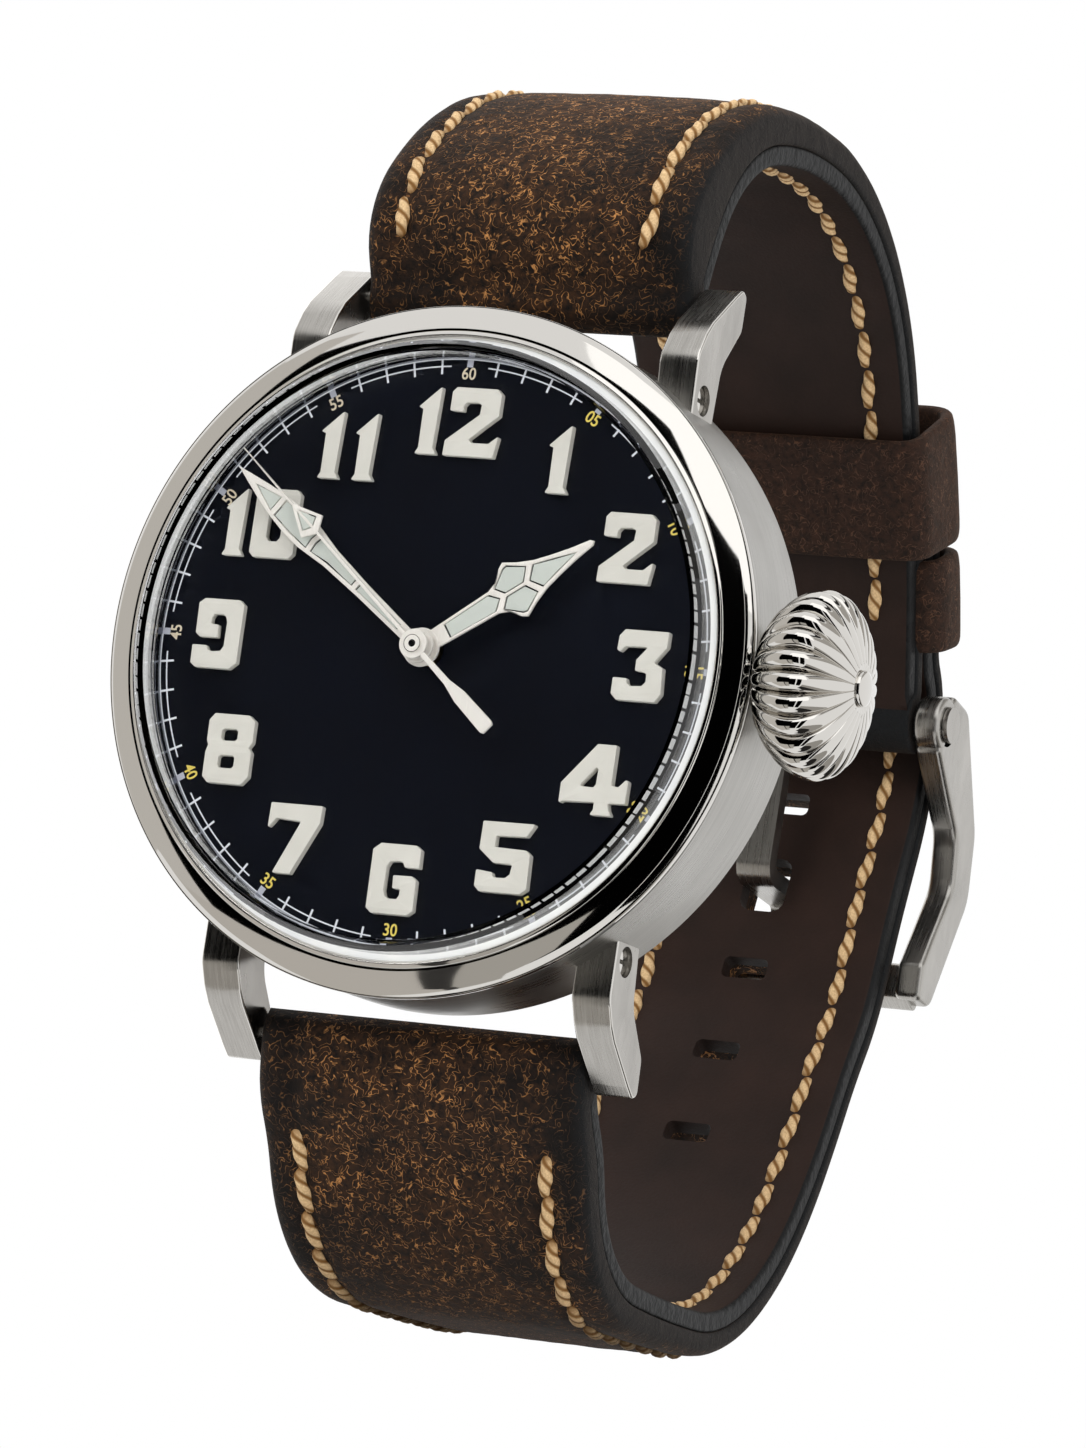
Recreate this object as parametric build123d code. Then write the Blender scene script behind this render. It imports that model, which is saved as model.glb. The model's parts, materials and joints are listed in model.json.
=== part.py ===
from build123d import *
import os
from math import atan2, cos, degrees, radians, sin, sqrt

# Pilot watch on a padded two-layer leather strap, buckled into its wrist loop. Millimetres.
# The dial faces -Y, twelve o'clock is +Z and the crown is on +X.
# The origin is the middle of the case back's flat outer face, on the axis of the hands.
# A height is the distance in front of that face, so a height h lies at y = -h.
# A depth runs the other way, from that face towards the wrist and the buckle, along +Y.

# Fits shared by the whole watch
running_gap = 0.04            # radial play of everything that turns or slides in a bore
free_gap = 0.2                # air round pieces that pass each other
leather_gap = 0.3             # air round soft leather
overrun = 2.0                 # how far a cutter runs past what it cuts
angle_overrun = 1.0           # the same, in degrees
nearly_straight = 1e-4        # share of its length by which an arc may bow and count as a line

# Case, from the back forwards
case_radius = 22.5            # outside of the bezel's plain strip
flank_step = 0.1              # the middle case is this much smaller than the bezel
back_plate = 1.4              # thickness of the case back
flank_height = 8.1            # brushed flank, from the case back to the bezel
flank_chamfer = 0.25
case_wall = 2.9               # round the room for dial and movement
back_inset = 1.2              # the case back is this much smaller than the flank
back_bevel = 0.5
back_ring_wall = 1.5          # ring on the case back that holds the movement in
back_ring_height = 1.75
back_notch_count = 6          # notches for the case back key
back_notch_width = 3.0
back_notch_depth = 0.9
back_notch_height = 0.8
seal_width = 0.7              # sealing ring under the case back
seal_height = 0.6
seal_inset = 0.4              # from the cavity wall to the sealing ring

# Bezel and crystal
bezel_ledge = 0.7             # height of the seat that carries the crystal
ledge_overhang = 0.15         # how far that seat reaches in past the case's wall
bezel_strip = 0.8             # plain strip above the flank
bezel_rise = 1.35             # from the bezel's seat to its rim
bezel_lip_drop = 0.15         # from the rim down to the edge round the crystal
band_width = 1.45             # from the strip in to the crest of the polished rim
bezel_belly = 0.1             # how far the polished band bulges
strip_step = 0.1              # step between the strip and the polished band
crystal_gasket_wall = 0.4
crystal_edge = 2.3            # upright edge of the crystal
crystal_wall = 0.8            # thickness of that edge
crystal_seat_width = 0.3      # the crystal is this much larger than the case's wall is inside
crystal_rise = 1.8            # rise of the dome above the edge
crystal_thickness = 1.2       # at the middle
crystal_inner_edge = 1.85     # height of the inner wall before the inner dome starts
bezel_notch_width = 2.8       # opening notches under the bezel
bezel_notch_height = 0.5
bezel_notch_depth = 1.0
bezel_notch_angles = (45, 140, 225, 315)

# Dial and the ring round it
dial_thickness = 0.4
dial_below_seat = 0.2         # dial face below the bezel's seat
dial_foot_radius = 0.35
dial_foot_length = 0.9
dial_foot_reach = 12.8        # from the middle to each foot
dial_foot_angles = (100, 280)
flange_wall = 0.35
flange_top_wall = 0.15

# Hands: hub, lift above the dial and reach
hand_thickness = 0.2
hand_spacing = 0.4            # air between one hand and the next
hour_lift = 1.0               # underside of the hour hand above the dial
hour_reach = 13.2
hour_half_width = 2.0
hour_angle = 55.0             # clock angle at rest, in degrees
minute_reach = 18.0
minute_half_width = 1.0
minute_angle = 306.8
seconds_reach = 18.4
seconds_tail = 7.8
seconds_half_width = 1.0
seconds_angle = 310.4
lume_drop = 0.05              # luminous filling below the face of the hand
hour_hub_radius = 1.25
minute_hub_radius = 1.1
seconds_hub_radius = 0.95
seconds_cap = 0.15
seconds_cap_radius = 0.57
arbor_radius = 0.25           # seconds arbor, the innermost of the three
cannon_wall = 0.23
hour_pipe_wall = 0.25

# Movement
plate_radius = 15.2
plate_height = 2.5            # thickness of the mainplate
plate_recess_radius = 4.6     # room for the hour wheel under the dial
plate_recess_depth = 1.0
hour_wheel_radius = 4.2
hour_wheel_thickness = 0.3
hour_wheel_lift = 0.2         # above the floor of its recess
hour_wheel_teeth = 32
tooth_depth = 0.28
tooth_tip_share = 0.35        # of the pitch
tooth_root_share = 0.75
cannon_pinion_radius = 0.9
cannon_pinion_height = 0.7
cannon_pinion_teeth = 10
bridge_height = 2.2
bridge_wall = 2.6             # rim that stands on the mainplate
bridge_floor = 1.8            # thickness of the bridge's plate
bridge_screw_reach = 13.9
bridge_screw_angles = (80, 160, 350)
bridge_screw_radius = 0.75
bridge_screw_head = 0.5
bridge_screw_shank = 0.4
bridge_screw_length = 2.9
screw_slot_width = 0.25
screw_slot_depth = 0.25
holder_gap = 0.1
holder_height = 5.7
balance_reach = 9.3           # from the middle to the balance staff
balance_angle = 228.0         # clock angle of the staff
balance_radius = 4.2
balance_rim = 0.5
balance_thickness = 0.45
balance_spoke = 0.6
staff_radius = 0.3
staff_hub_radius = 0.7
pivot_depth = 0.5
balance_room = 0.6            # air round the balance
cock_thickness = 0.6
cock_width = 3.0
cock_lift = 0.5               # between the balance and its cock
rotor_radius = 14.6
rotor_web = 0.5
rotor_rim = 1.2
rotor_rim_wall = 2.6
rotor_hub_radius = 2.3
rotor_gap = 0.5               # between the rotor and the bridge
bearing_radius = 1.6
bearing_pin_radius = 0.8
bearing_cap = 0.25

# Crown, stem and setting lever
crown_height = 7.5            # axis of the crown above the back face
crown_lobes = 24
crown_radius = 6.03           # over the lobes at the widest place
crown_length = 6.3
crown_gap = 0.4               # between the crown and the flank
crown_button_radius = 1.15
crown_button_length = 0.35
lobe_shares = ((0, 0.925), (0.17, 0.98), (0.5, 1.0), (0.83, 0.98))  # across a lobe: turn and radius
tube_radius = 1.5
tube_reach = 1.6              # how far the tube stands out of the flank
stem_radius = 0.6
stem_inner_end = 9.0          # distance of the stem's inner end from the middle
stem_screw_length = 1.4       # inside the crown
crown_seal_width = 0.55
crown_seal_length = 0.6
crown_seal_inset = 0.4
pull_travel = 1.8
lever_start = 12.1            # distance of the setting lever from the middle
lever_length = 1.0            # along the stem
lever_reach = 2.8             # across the stem
lever_thickness = 0.6
lever_groove = 0.25           # depth of the stem's groove

# Lugs, their screws and the spring bars
lug_inner = 11.8              # half of the gap for the strap
lug_width = 2.7
lug_length = 10.6             # from its root in the flank to its tip, across the case
lug_shoulder = 6.6            # height of a lug's front face at the case
lug_seat_depth = 0.8          # how deep a lug is let into the flank
lug_screw_height = 4.9
lug_screw_step = 2.2          # from the lug's root
lug_screw_head_radius = 0.95
lug_screw_head = 0.8
lug_screw_sink = 0.3
lug_screw_shank_radius = 0.55
lug_screw_shank = 3.9
lug_screw_play = 0.05
bar_height = 1.5              # spring bars above the back face
bar_step = 2.0                # spring bar short of the lugs' tips
bar_radius = 0.75
bar_tip_radius = 0.45
bar_tip_length = 1.6
bar_end_gap = 0.2

# Strap. Stations are on its wrist side.
strap_half_width = 11.6       # at the lugs
strap_tip_half_width = 10.0   # at the buckle
lining_thickness = 1.4
strap_end_radius = 1.8        # loop of leather round a spring bar
strap_bore_gap = 0.08
pad_thickness = 4.6           # where the strap is padded, beyond the lugs
strap_thickness = 3.3
tail_thickness = 3.0
upper_rise = 15.0             # top of the loop above the spring bar, on the wrist side
lower_rise = 12.4             # and the bottom of it below the other bar
buckle_depth = 51.2           # buckle bar behind the back face
buckle_height = 7.0           # buckle bar above the middle
slot_width = 3.4
slot_height = 1.6
used_slot_height = 3.0
slot_pitch = 6.3
slots_below = 4
slots_above = 3
used_slot_share = 0.6         # height of the slot in use, of the buckle's drop

# Long gentle arc of the strap under the two keepers
keeper_arc_radius = 80.0
keeper_arc_low_angle = 17.0
keeper_arc_high_angle = 32.5
strap_end_run = 2.4           # from the end of that arc to the buckle bar
strap_end_lift = 1.9          # buckle bar above the wrist side of the strap
buckle_loop_radius = 2.2
tongue_gap_half = 1.7         # gap in the strap's end for the tongue
tongue_gap_length = 5.0
tail_end_angle = 29.6
tail_join_angle = 18.6

# Keepers
keeper_wall = 1.4
keeper_inner_wall = 1.0       # leg of the fixed keeper between lining and leather
keeper_half_width = 10.6      # inside
fixed_keeper_angles = (18.8, 23.5)
free_keeper_angles = (23.9, 30.3)

# Buckle
buckle_drop = 20.9            # from the bar to the far end
buckle_bow = 9.1              # how far the arms bow out
arm_inner = 10.35
arm_width = 2.0
arm_fillet = 1.2
far_bar_depth = 3.1           # far bar outside the buckle bar
far_bar_drop = 19.5
far_bar_thickness = 2.2
far_bar_width = 3.0
far_bar_round = 0.7
far_bar_tilt = -25.0          # degrees, square to the tail
buckle_bar_radius = 0.75
buckle_bar_head = 1.3
buckle_bar_head_length = 0.35
tongue_width = 2.6
tongue_thickness = 1.2
tongue_ring_wall = 0.7
tongue_edge = 0.25

# Heights and radii that follow from the sizes above
seat_height = back_plate + flank_height
crystal_seat = seat_height + bezel_ledge
crystal_top_edge = crystal_seat + crystal_edge
bezel_lip = seat_height + bezel_rise - bezel_lip_drop
dial_face = seat_height - dial_below_seat
plate_top = dial_face - dial_thickness
plate_back = plate_top - plate_height
recess_floor = plate_top - plate_recess_depth
bridge_back = plate_back - bridge_height
hour_height = dial_face + hour_lift
minute_height = hour_height + hand_thickness + hand_spacing
seconds_height = minute_height + hand_thickness + hand_spacing
cannon_bore = arbor_radius + running_gap
cannon_radius = cannon_bore + cannon_wall
hour_bore = cannon_radius + running_gap
hour_pipe_radius = hour_bore + hour_pipe_wall
flank_radius = case_radius - flank_step
cavity_radius = flank_radius - case_wall
back_radius = flank_radius - back_inset
dial_radius = cavity_radius - free_gap
ledge_radius = cavity_radius - ledge_overhang
rim_radius = case_radius - strip_step - band_width
crystal_radius = cavity_radius + crystal_seat_width
rotor_top = bridge_back - rotor_gap
lug_outer = lug_inner + lug_width
lug_root = sqrt((flank_radius - lug_seat_depth) ** 2 - lug_outer ** 2)
lug_screw_reach = lug_root + lug_screw_step
bar_reach = lug_root + lug_length - bar_step
upper_crest = bar_reach + upper_rise
lower_crest = bar_reach + lower_rise

SIDE = Plane(origin=(0, 0, 0), x_dir=(0, 1, 0), z_dir=(1, 0, 0))


def front(height):
    """Plane parallel to the dial: x to the crown, y to twelve, extrusions go to the viewer."""
    return Plane(origin=(0, -height, 0), x_dir=(1, 0, 0), z_dir=(0, -1, 0))


def clock_place(reach, angle):
    """Place at a distance from the middle and a clock angle in degrees."""
    return (reach * sin(radians(angle)), reach * cos(radians(angle)))


def turned(points, radius=0):
    """Ring or disc about the axis of the hands, from (radius, height) points."""
    places = [(r, -h) for r, h in points]
    if radius:
        outline = FilletPolyline(*places, radius=radius, close=True)
    else:
        outline = Polyline(*places, close=True)
    return revolve(make_face(outline), Axis.Y)


def ring(inner, outer, low, high):
    """Plain ring about the axis of the hands."""
    return turned([(inner, low), (outer, low), (outer, high), (inner, high)])


def disc(radius, low, high, place=(0, 0)):
    """Plain disc or pin parallel to the axis of the hands."""
    return extrude(front(low) * Pos(place[0], place[1]) * Circle(radius), high - low)


def block(low, high):
    """Straight block between two corners."""
    size = [b - a for a, b in zip(low, high)]
    return Pos(*low) * Box(*size, align=(Align.MIN, Align.MIN, Align.MIN))


def rod(radius, start, end, depth, height):
    """Round bar along X, at a place given as depth and height above the middle."""
    plane = Plane(origin=(start, depth, height), x_dir=(0, 1, 0), z_dir=(1, 0, 0))
    return extrude(plane * Circle(radius), end - start)


def case_back():
    """Plate with a ring that presses on the movement holder, and notches for its key."""
    ring_outer = cavity_radius - 2 * running_gap
    ring_inner = ring_outer - back_ring_wall
    ring_top = back_plate + back_ring_height
    plate = turned([
        (0, 0),
        (back_radius - back_bevel, 0),
        (back_radius, back_bevel),
        (back_radius, back_plate),
        (ring_outer, back_plate),
        (ring_outer, ring_top),
        (ring_inner, ring_top),
        (ring_inner, back_plate),
        (0, back_plate),
    ])
    notch = Rectangle(back_notch_width, 2 * back_notch_depth)
    cut = extrude(front(-overrun) * Pos(0, back_radius) * notch, overrun + back_notch_height)
    for index in range(back_notch_count):
        plate -= Rot(0, index * 360 / back_notch_count, 0) * cut
    return plate


def case_back_gasket():
    """Sealing ring in its groove in the middle case."""
    inner = cavity_radius + seal_inset
    return ring(inner, inner + seal_width, back_plate, back_plate + seal_height)


def mid_case():
    """Middle case: a thick ring with seats for lugs, crown tube and sealing ring."""
    body = turned([
        (cavity_radius, back_plate),
        (flank_radius - flank_chamfer, back_plate),
        (flank_radius, back_plate + flank_chamfer),
        (flank_radius, seat_height - flank_chamfer),
        (flank_radius - flank_chamfer, seat_height),
        (cavity_radius, seat_height),
    ])
    body -= case_back_gasket()
    body -= rod(tube_radius, cavity_radius - overrun, case_radius + overrun, -crown_height, 0)
    for lug_place in LUG_PLACES:
        body -= lug_blank(*lug_place)
        body -= lug_screw_hole(*lug_place)
    return body


def bezel():
    """Fixed bezel: seat for the crystal, plain strip, polished band and rim."""
    bore = crystal_radius + crystal_gasket_wall
    strip_top = seat_height + bezel_strip
    rim_height = seat_height + bezel_rise
    band_start = (case_radius - strip_step, -strip_top)
    band_end = (rim_radius, -rim_height)
    lower = Polyline(
        (bore, -bezel_lip),
        (bore, -crystal_seat),
        (ledge_radius, -crystal_seat),
        (ledge_radius, -seat_height),
        (case_radius, -seat_height),
        (case_radius, -strip_top),
        band_start,
    )
    band = SagittaArc(band_start, band_end, -bezel_belly)
    rim = Line(band_end, (bore, -bezel_lip))
    body = revolve(make_face(lower.edges() + band.edges() + rim.edges()), Axis.Y)
    notch = Rectangle(bezel_notch_width, 2 * bezel_notch_depth)
    cut = extrude(front(seat_height - overrun) * Pos(0, case_radius) * notch, overrun + bezel_notch_height)
    for angle in bezel_notch_angles:
        body -= Rot(0, angle, 0) * cut
    return body


def crystal():
    """Domed crystal with an upright edge."""
    inner_radius = crystal_radius - crystal_wall
    inner_edge = crystal_seat + crystal_inner_edge
    top = crystal_top_edge + crystal_rise
    inner_top = top - crystal_thickness
    outer_dome = ThreePointArc(
        (crystal_radius, -crystal_top_edge),
        dome_middle(crystal_radius, crystal_top_edge, top),
        (0, -top),
    )
    inner_dome = ThreePointArc(
        (inner_radius, -inner_edge),
        dome_middle(inner_radius, inner_edge, inner_top),
        (0, -inner_top),
    )
    edge = Polyline(
        (inner_radius, -inner_edge),
        (inner_radius, -crystal_seat),
        (crystal_radius, -crystal_seat),
        (crystal_radius, -crystal_top_edge),
    )
    axis_line = Line((0, -inner_top), (0, -top))
    outline = edge.edges() + outer_dome.edges() + axis_line.edges() + inner_dome.edges()
    return revolve(make_face(outline), Axis.Y)


def dome_middle(radius, edge, top):
    """Point half way along a dome's arc, from its edge radius, edge height and top height."""
    rise = top - edge
    ball = (radius * radius + rise * rise) / (2 * rise)
    half = radius / 2
    return (half, -(top - ball + sqrt(ball * ball - half * half)))


def crystal_gasket():
    """Thin ring between crystal and bezel."""
    return ring(crystal_radius, crystal_radius + crystal_gasket_wall, crystal_seat, bezel_lip)


def flange_ring():
    """Ring that stands on the dial and meets the crystal."""
    outer = dial_radius
    return turned([
        (outer - flange_wall, dial_face),
        (outer, dial_face),
        (outer, crystal_seat),
        (outer - flange_top_wall, crystal_seat),
    ])


def dial():
    """Dial plate with its centre hole and two feet."""
    plate = ring(hour_pipe_radius + free_gap, dial_radius, plate_top, dial_face)
    for angle in dial_foot_angles:
        place = clock_place(dial_foot_reach, angle)
        plate += disc(dial_foot_radius, plate_top - dial_foot_length, plate_top, place)
    return plate


def hand_outline(points, reach, half_width):
    """Symmetric outline of a hand pointing to twelve, from (along, across) shares."""
    right = [(half_width * across, reach * along) for along, across in points]
    left = [(-x, y) for x, y in reversed(right) if x > 0]
    return make_face(Polyline(*(right + left), close=True))


def cell(points, reach, half_width):
    """One luminous cell, from (along, across) shares."""
    places = [(half_width * across, reach * along) for along, across in points]
    return make_face(Polyline(*places, close=True))


# Hour hand: shares of its reach and of its half width
hour_outline_shares = [
    (0, 0.30), (0.42, 0.40), (0.475, 0.55), (0.515, 0.88), (0.545, 1.0), (0.61, 0.75),
    (0.69, 0.52), (0.78, 0.36), (0.89, 0.20), (0.985, 0.10), (1.0, 0),
]
hour_cell_shares = [
    [(0.15, -0.24), (0.15, 0.24), (0.415, 0.31), (0.46, 0), (0.415, -0.31)],
    [(0.45, 0.37), (0.53, 0.82), (0.555, 0.86), (0.645, 0.47), (0.60, 0.05), (0.49, 0.05)],
    [(0.45, -0.37), (0.49, -0.05), (0.60, -0.05), (0.645, -0.47), (0.555, -0.86), (0.53, -0.82)],
    [(0.625, 0), (0.675, 0.42), (0.78, 0.23), (0.90, 0.02), (0.78, -0.23), (0.675, -0.42)],
]
# Minute hand
minute_outline_shares = [
    (0, 0.42), (0.30, 0.52), (0.48, 0.68), (0.56, 0.88), (0.61, 1.0), (0.69, 1.0), (0.77, 0.86),
    (0.86, 0.58), (0.95, 0.22), (1.0, 0),
]
minute_cell_shares = [
    [(0.10, -0.20), (0.10, 0.20), (0.325, 0.26), (0.325, -0.26)],
    [(0.345, -0.28), (0.345, 0.28), (0.48, 0.42), (0.56, 0.62), (0.565, 0), (0.56, -0.62), (0.48, -0.42)],
    [(0.585, 0), (0.58, 0.68), (0.68, 0.74), (0.765, 0.62), (0.765, -0.62), (0.68, -0.74), (0.58, -0.68)],
    [(0.785, -0.58), (0.785, 0.58), (0.90, 0)],
]
# Seconds hand: needle, open arrowhead and tail
seconds_needle_shares = [(0, 0.13), (0.56, 0.10), (1.0, 0.03)]
seconds_arrow_shares = [(0.555, 0), (0.59, 1.0), (0.70, 0.10), (0.70, 0)]
seconds_cell_shares = [(0.585, 0), (0.605, 0.66), (0.68, 0), (0.605, -0.66)]
seconds_tail_shares = [(0, 0.16), (0.45, 0.22), (0.62, 0.46), (0.97, 0.52), (1.0, 0.40)]


def hand_plate(face, height, hub_radius, bore, angle):
    """Steel hand: its outline with a round hub, at its height and clock angle."""
    plate = extrude(front(height) * Rot(0, 0, -angle) * (face + Circle(hub_radius)), hand_thickness)
    return plate - disc(bore, height - overrun, height + hand_thickness + overrun)


def hand_lume(cells, height, angle):
    """Luminous fillings of a hand's cells, a little below the steel's face."""
    faces = [front(height) * Rot(0, 0, -angle) * face for face in cells]
    return [extrude(face, hand_thickness - lume_drop) for face in faces]


def hour_cells():
    """Openings of the hour hand."""
    return [cell(points, hour_reach, hour_half_width) for points in hour_cell_shares]


def minute_cells():
    """Openings of the minute hand."""
    return [cell(points, minute_reach, minute_half_width) for points in minute_cell_shares]


def seconds_cells():
    """Opening of the seconds hand's arrowhead."""
    return [cell(seconds_cell_shares, seconds_reach, seconds_half_width)]


def hour_hand():
    """Broad skeleton hour hand."""
    face = hand_outline(hour_outline_shares, hour_reach, hour_half_width)
    for opening in hour_cells():
        face -= opening
    return hand_plate(face, hour_height, hour_hub_radius, hour_pipe_radius, hour_angle)


def minute_hand():
    """Slim skeleton minute hand."""
    face = hand_outline(minute_outline_shares, minute_reach, minute_half_width)
    for opening in minute_cells():
        face -= opening
    return hand_plate(face, minute_height, minute_hub_radius, cannon_radius, minute_angle)


def seconds_hand():
    """Needle with an open arrowhead and a paddle-shaped tail."""
    face = hand_outline(seconds_needle_shares, seconds_reach, seconds_half_width)
    face += hand_outline(seconds_arrow_shares, seconds_reach, seconds_half_width)
    face += Rot(0, 0, 180) * hand_outline(seconds_tail_shares, seconds_tail, seconds_half_width)
    for opening in seconds_cells():
        face -= opening
    return hand_plate(face, seconds_height, seconds_hub_radius, arbor_radius, seconds_angle)


def toothed_disc(radius, teeth, low, high, bore):
    """Wheel with straight-sided teeth about the axis of the hands."""
    root = radius - tooth_depth
    pitch = 360 / teeth
    places = []
    for index in range(teeth):
        for reach, share in ((root, -tooth_root_share), (radius, -tooth_tip_share),
                             (radius, tooth_tip_share), (root, tooth_root_share)):
            places.append(clock_place(reach, (index + share / 2) * pitch))
    face = make_face(Polyline(*places, close=True)) - Circle(bore)
    return extrude(front(low) * face, high - low)


def hour_wheel():
    """Hour wheel and the pipe that carries the hour hand."""
    low = recess_floor + hour_wheel_lift
    wheel = toothed_disc(hour_wheel_radius, hour_wheel_teeth, low, low + hour_wheel_thickness, hour_bore)
    return wheel + ring(hour_bore, hour_pipe_radius, low, hour_height + hand_thickness)


def cannon_pinion():
    """Tube that carries the minute hand, with its pinion below."""
    low = recess_floor - cannon_pinion_height
    pinion = toothed_disc(cannon_pinion_radius, cannon_pinion_teeth, low, recess_floor, cannon_bore)
    return pinion + ring(cannon_bore, cannon_radius, plate_back, minute_height + hand_thickness)


def seconds_arbor():
    """Thin arbor through the cannon pinion, with the cap that shows on the hub."""
    top = seconds_height + hand_thickness
    low = bridge_back + bridge_floor / 2
    cap = ring(arbor_radius, seconds_cap_radius, top, top + seconds_cap)
    return disc(arbor_radius, low, top + seconds_cap) + cap


def balance_place():
    """Place of the balance staff in front view."""
    return clock_place(balance_reach, balance_angle)


def mainplate():
    """Mainplate with the recess for the hour wheel, the stem's bore and the lever's room."""
    body = ring(cannon_radius + running_gap, plate_radius, plate_back, plate_top)
    body -= disc(plate_recess_radius, recess_floor, plate_top + overrun)
    pinion_room = cannon_pinion_radius + free_gap
    body -= disc(pinion_room, recess_floor - cannon_pinion_height - running_gap, recess_floor + overrun)
    body -= rod(stem_radius + running_gap, stem_inner_end - free_gap, plate_radius + overrun, -crown_height, 0)
    body -= lever_room()
    body -= disc(staff_radius + running_gap, plate_back - overrun, plate_back + pivot_depth, balance_place())
    for angle in dial_foot_angles:
        place = clock_place(dial_foot_reach, angle)
        body -= disc(dial_foot_radius, plate_top - dial_foot_length, plate_top + overrun, place)
    for angle in bridge_screw_angles:
        place = clock_place(bridge_screw_reach, angle)
        screw_top = bridge_back + bridge_screw_length
        body -= disc(bridge_screw_shank, plate_back - overrun, screw_top, place)
    return body


def lever_room():
    """Pocket under the dial in which the setting lever slides."""
    low = (lever_start - free_gap, -plate_top - overrun, 0)
    depth = crown_height - lever_thickness / 2 - free_gap
    high = (lever_start + lever_length + pull_travel + free_gap, -depth, lever_reach + stem_radius + free_gap)
    return block(low, high)


def setting_lever():
    """Lever whose tip lies in the stem's groove and holds the stem in."""
    groove_radius = stem_radius - lever_groove
    low = (lever_start + running_gap, -crown_height - lever_thickness / 2, groove_radius + running_gap)
    high = (lever_start + lever_length - running_gap, -crown_height + lever_thickness / 2,
            stem_radius + lever_reach)
    return block(low, high)


def balance_room_cut(low, high):
    """Room round the balance, cut from the bridge."""
    return disc(balance_radius + balance_room, low, high, balance_place())


def movement_bridge():
    """Bridge over the train: a plate with a rim that stands on the mainplate."""
    body = disc(plate_radius - free_gap, bridge_back, plate_back)
    body -= disc(plate_radius - free_gap - bridge_wall, bridge_back + bridge_floor, plate_back + overrun)
    body -= disc(cannon_bore, bridge_back - overrun, plate_back + overrun)
    body -= balance_room_cut(bridge_back - overrun, plate_back + overrun)
    body -= cock_arm(free_gap)
    for angle in bridge_screw_angles:
        place = clock_place(bridge_screw_reach, angle)
        body -= disc(bridge_screw_shank, bridge_back - overrun, plate_back + overrun, place)
        body -= disc(bridge_screw_radius + free_gap / 2, bridge_back - overrun,
                     bridge_back + bridge_screw_head, place)
    return body


def bridge_screws():
    """Slotted screws that hold the bridge to the mainplate."""
    screws = []
    for angle in bridge_screw_angles:
        place = clock_place(bridge_screw_reach, angle)
        head = disc(bridge_screw_radius, bridge_back, bridge_back + bridge_screw_head, place)
        shank = disc(bridge_screw_shank, bridge_back + bridge_screw_head, bridge_back + bridge_screw_length, place)
        slot_face = Pos(place[0], place[1]) * Rectangle(3 * bridge_screw_radius, screw_slot_width)
        slot = extrude(front(bridge_back - overrun) * slot_face, overrun + screw_slot_depth)
        screws.append(head + shank - slot)
    return screws


def balance_low():
    """Height of the balance wheel's back face."""
    return bridge_back + bridge_floor / 2


def balance_wheel():
    """Balance: a rim on two spokes, with its staff and pivots."""
    low = balance_low()
    rim = Circle(balance_radius) - Circle(balance_radius - balance_rim)
    spokes = Rectangle(2 * balance_radius - balance_rim, balance_spoke)
    face = rim + spokes + Circle(staff_hub_radius)
    place = balance_place()
    wheel = extrude(front(low) * Pos(place[0], place[1]) * face, balance_thickness)
    pivot_low = cock_back() + cock_thickness - pivot_depth
    pivot_high = plate_back + pivot_depth - running_gap
    return wheel + disc(staff_radius, pivot_low, pivot_high, place)


def cock_back():
    """Height of the balance cock's back face."""
    return balance_low() - cock_lift - cock_thickness


def cock_arm(room):
    """Arm and foot of the balance cock, larger all round by the given room."""
    angle = balance_angle
    foot_reach = balance_radius + balance_room + cock_width / 2
    half = cock_width / 2 + room
    start = balance_reach - cock_width / 2 - room
    arm_end = min(balance_reach + foot_reach, plate_radius - free_gap - running_gap)
    arm_face = Pos(0, (start + arm_end) / 2) * Rectangle(2 * half, arm_end - start + 2 * room)
    arm = extrude(front(cock_back() - room) * Rot(0, 0, -angle) * arm_face, cock_thickness + room)
    foot_start = balance_reach + balance_radius + balance_room / 2
    foot_face = Pos(0, (foot_start + arm_end) / 2) * Rectangle(2 * half, arm_end - foot_start + 2 * room)
    foot = extrude(front(cock_back() - room) * Rot(0, 0, -angle) * foot_face, plate_back - cock_back() + room)
    return (arm + foot) & disc(plate_radius - free_gap + room, cock_back() - room, plate_back)


def balance_cock():
    """Cock that carries the balance's back pivot and stands on the mainplate."""
    body = cock_arm(0)
    return body - disc(staff_radius + running_gap, cock_back() + cock_thickness - pivot_depth - running_gap,
                       plate_back, balance_place())


def rotor_bearing():
    """Post on the bridge with the pin and cap that carry the rotor."""
    pin_low = rotor_top - rotor_web - running_gap
    post = disc(bearing_radius, rotor_top + running_gap, bridge_back)
    pin = disc(bearing_pin_radius, pin_low, rotor_top + running_gap)
    cap = disc(bearing_radius, pin_low - bearing_cap, pin_low)
    return post + pin + cap


def rotor():
    """Winding rotor: a half disc with a heavy rim, hanging down at rest."""
    low = rotor_top - rotor_web
    half_plane = Pos(0, -rotor_radius / 2) * Rectangle(2 * rotor_radius + overrun, rotor_radius)
    web = (Circle(rotor_radius) & half_plane) + Circle(rotor_hub_radius) - Circle(bearing_pin_radius + running_gap)
    rim = (Circle(rotor_radius) - Circle(rotor_radius - rotor_rim_wall)) & half_plane
    body = extrude(front(low) * web, rotor_web)
    return body + extrude(front(rotor_top - rotor_rim) * rim, rotor_rim)


def movement_holder():
    """Ring between the movement and the case, with a slot for the stem."""
    low = plate_top - holder_height
    body = ring(plate_radius + holder_gap, dial_radius, low, plate_top)
    return body - rod(stem_radius + free_gap, 0, case_radius, -crown_height, 0)


def crown_tube():
    """Tube pressed into the flank, which guides stem and crown."""
    start = cavity_radius + holder_gap
    end = flank_radius + tube_reach
    tube = rod(tube_radius, start, end, -crown_height, 0)
    return tube - rod(stem_radius + running_gap, start - overrun, end + overrun, -crown_height, 0)


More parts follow.
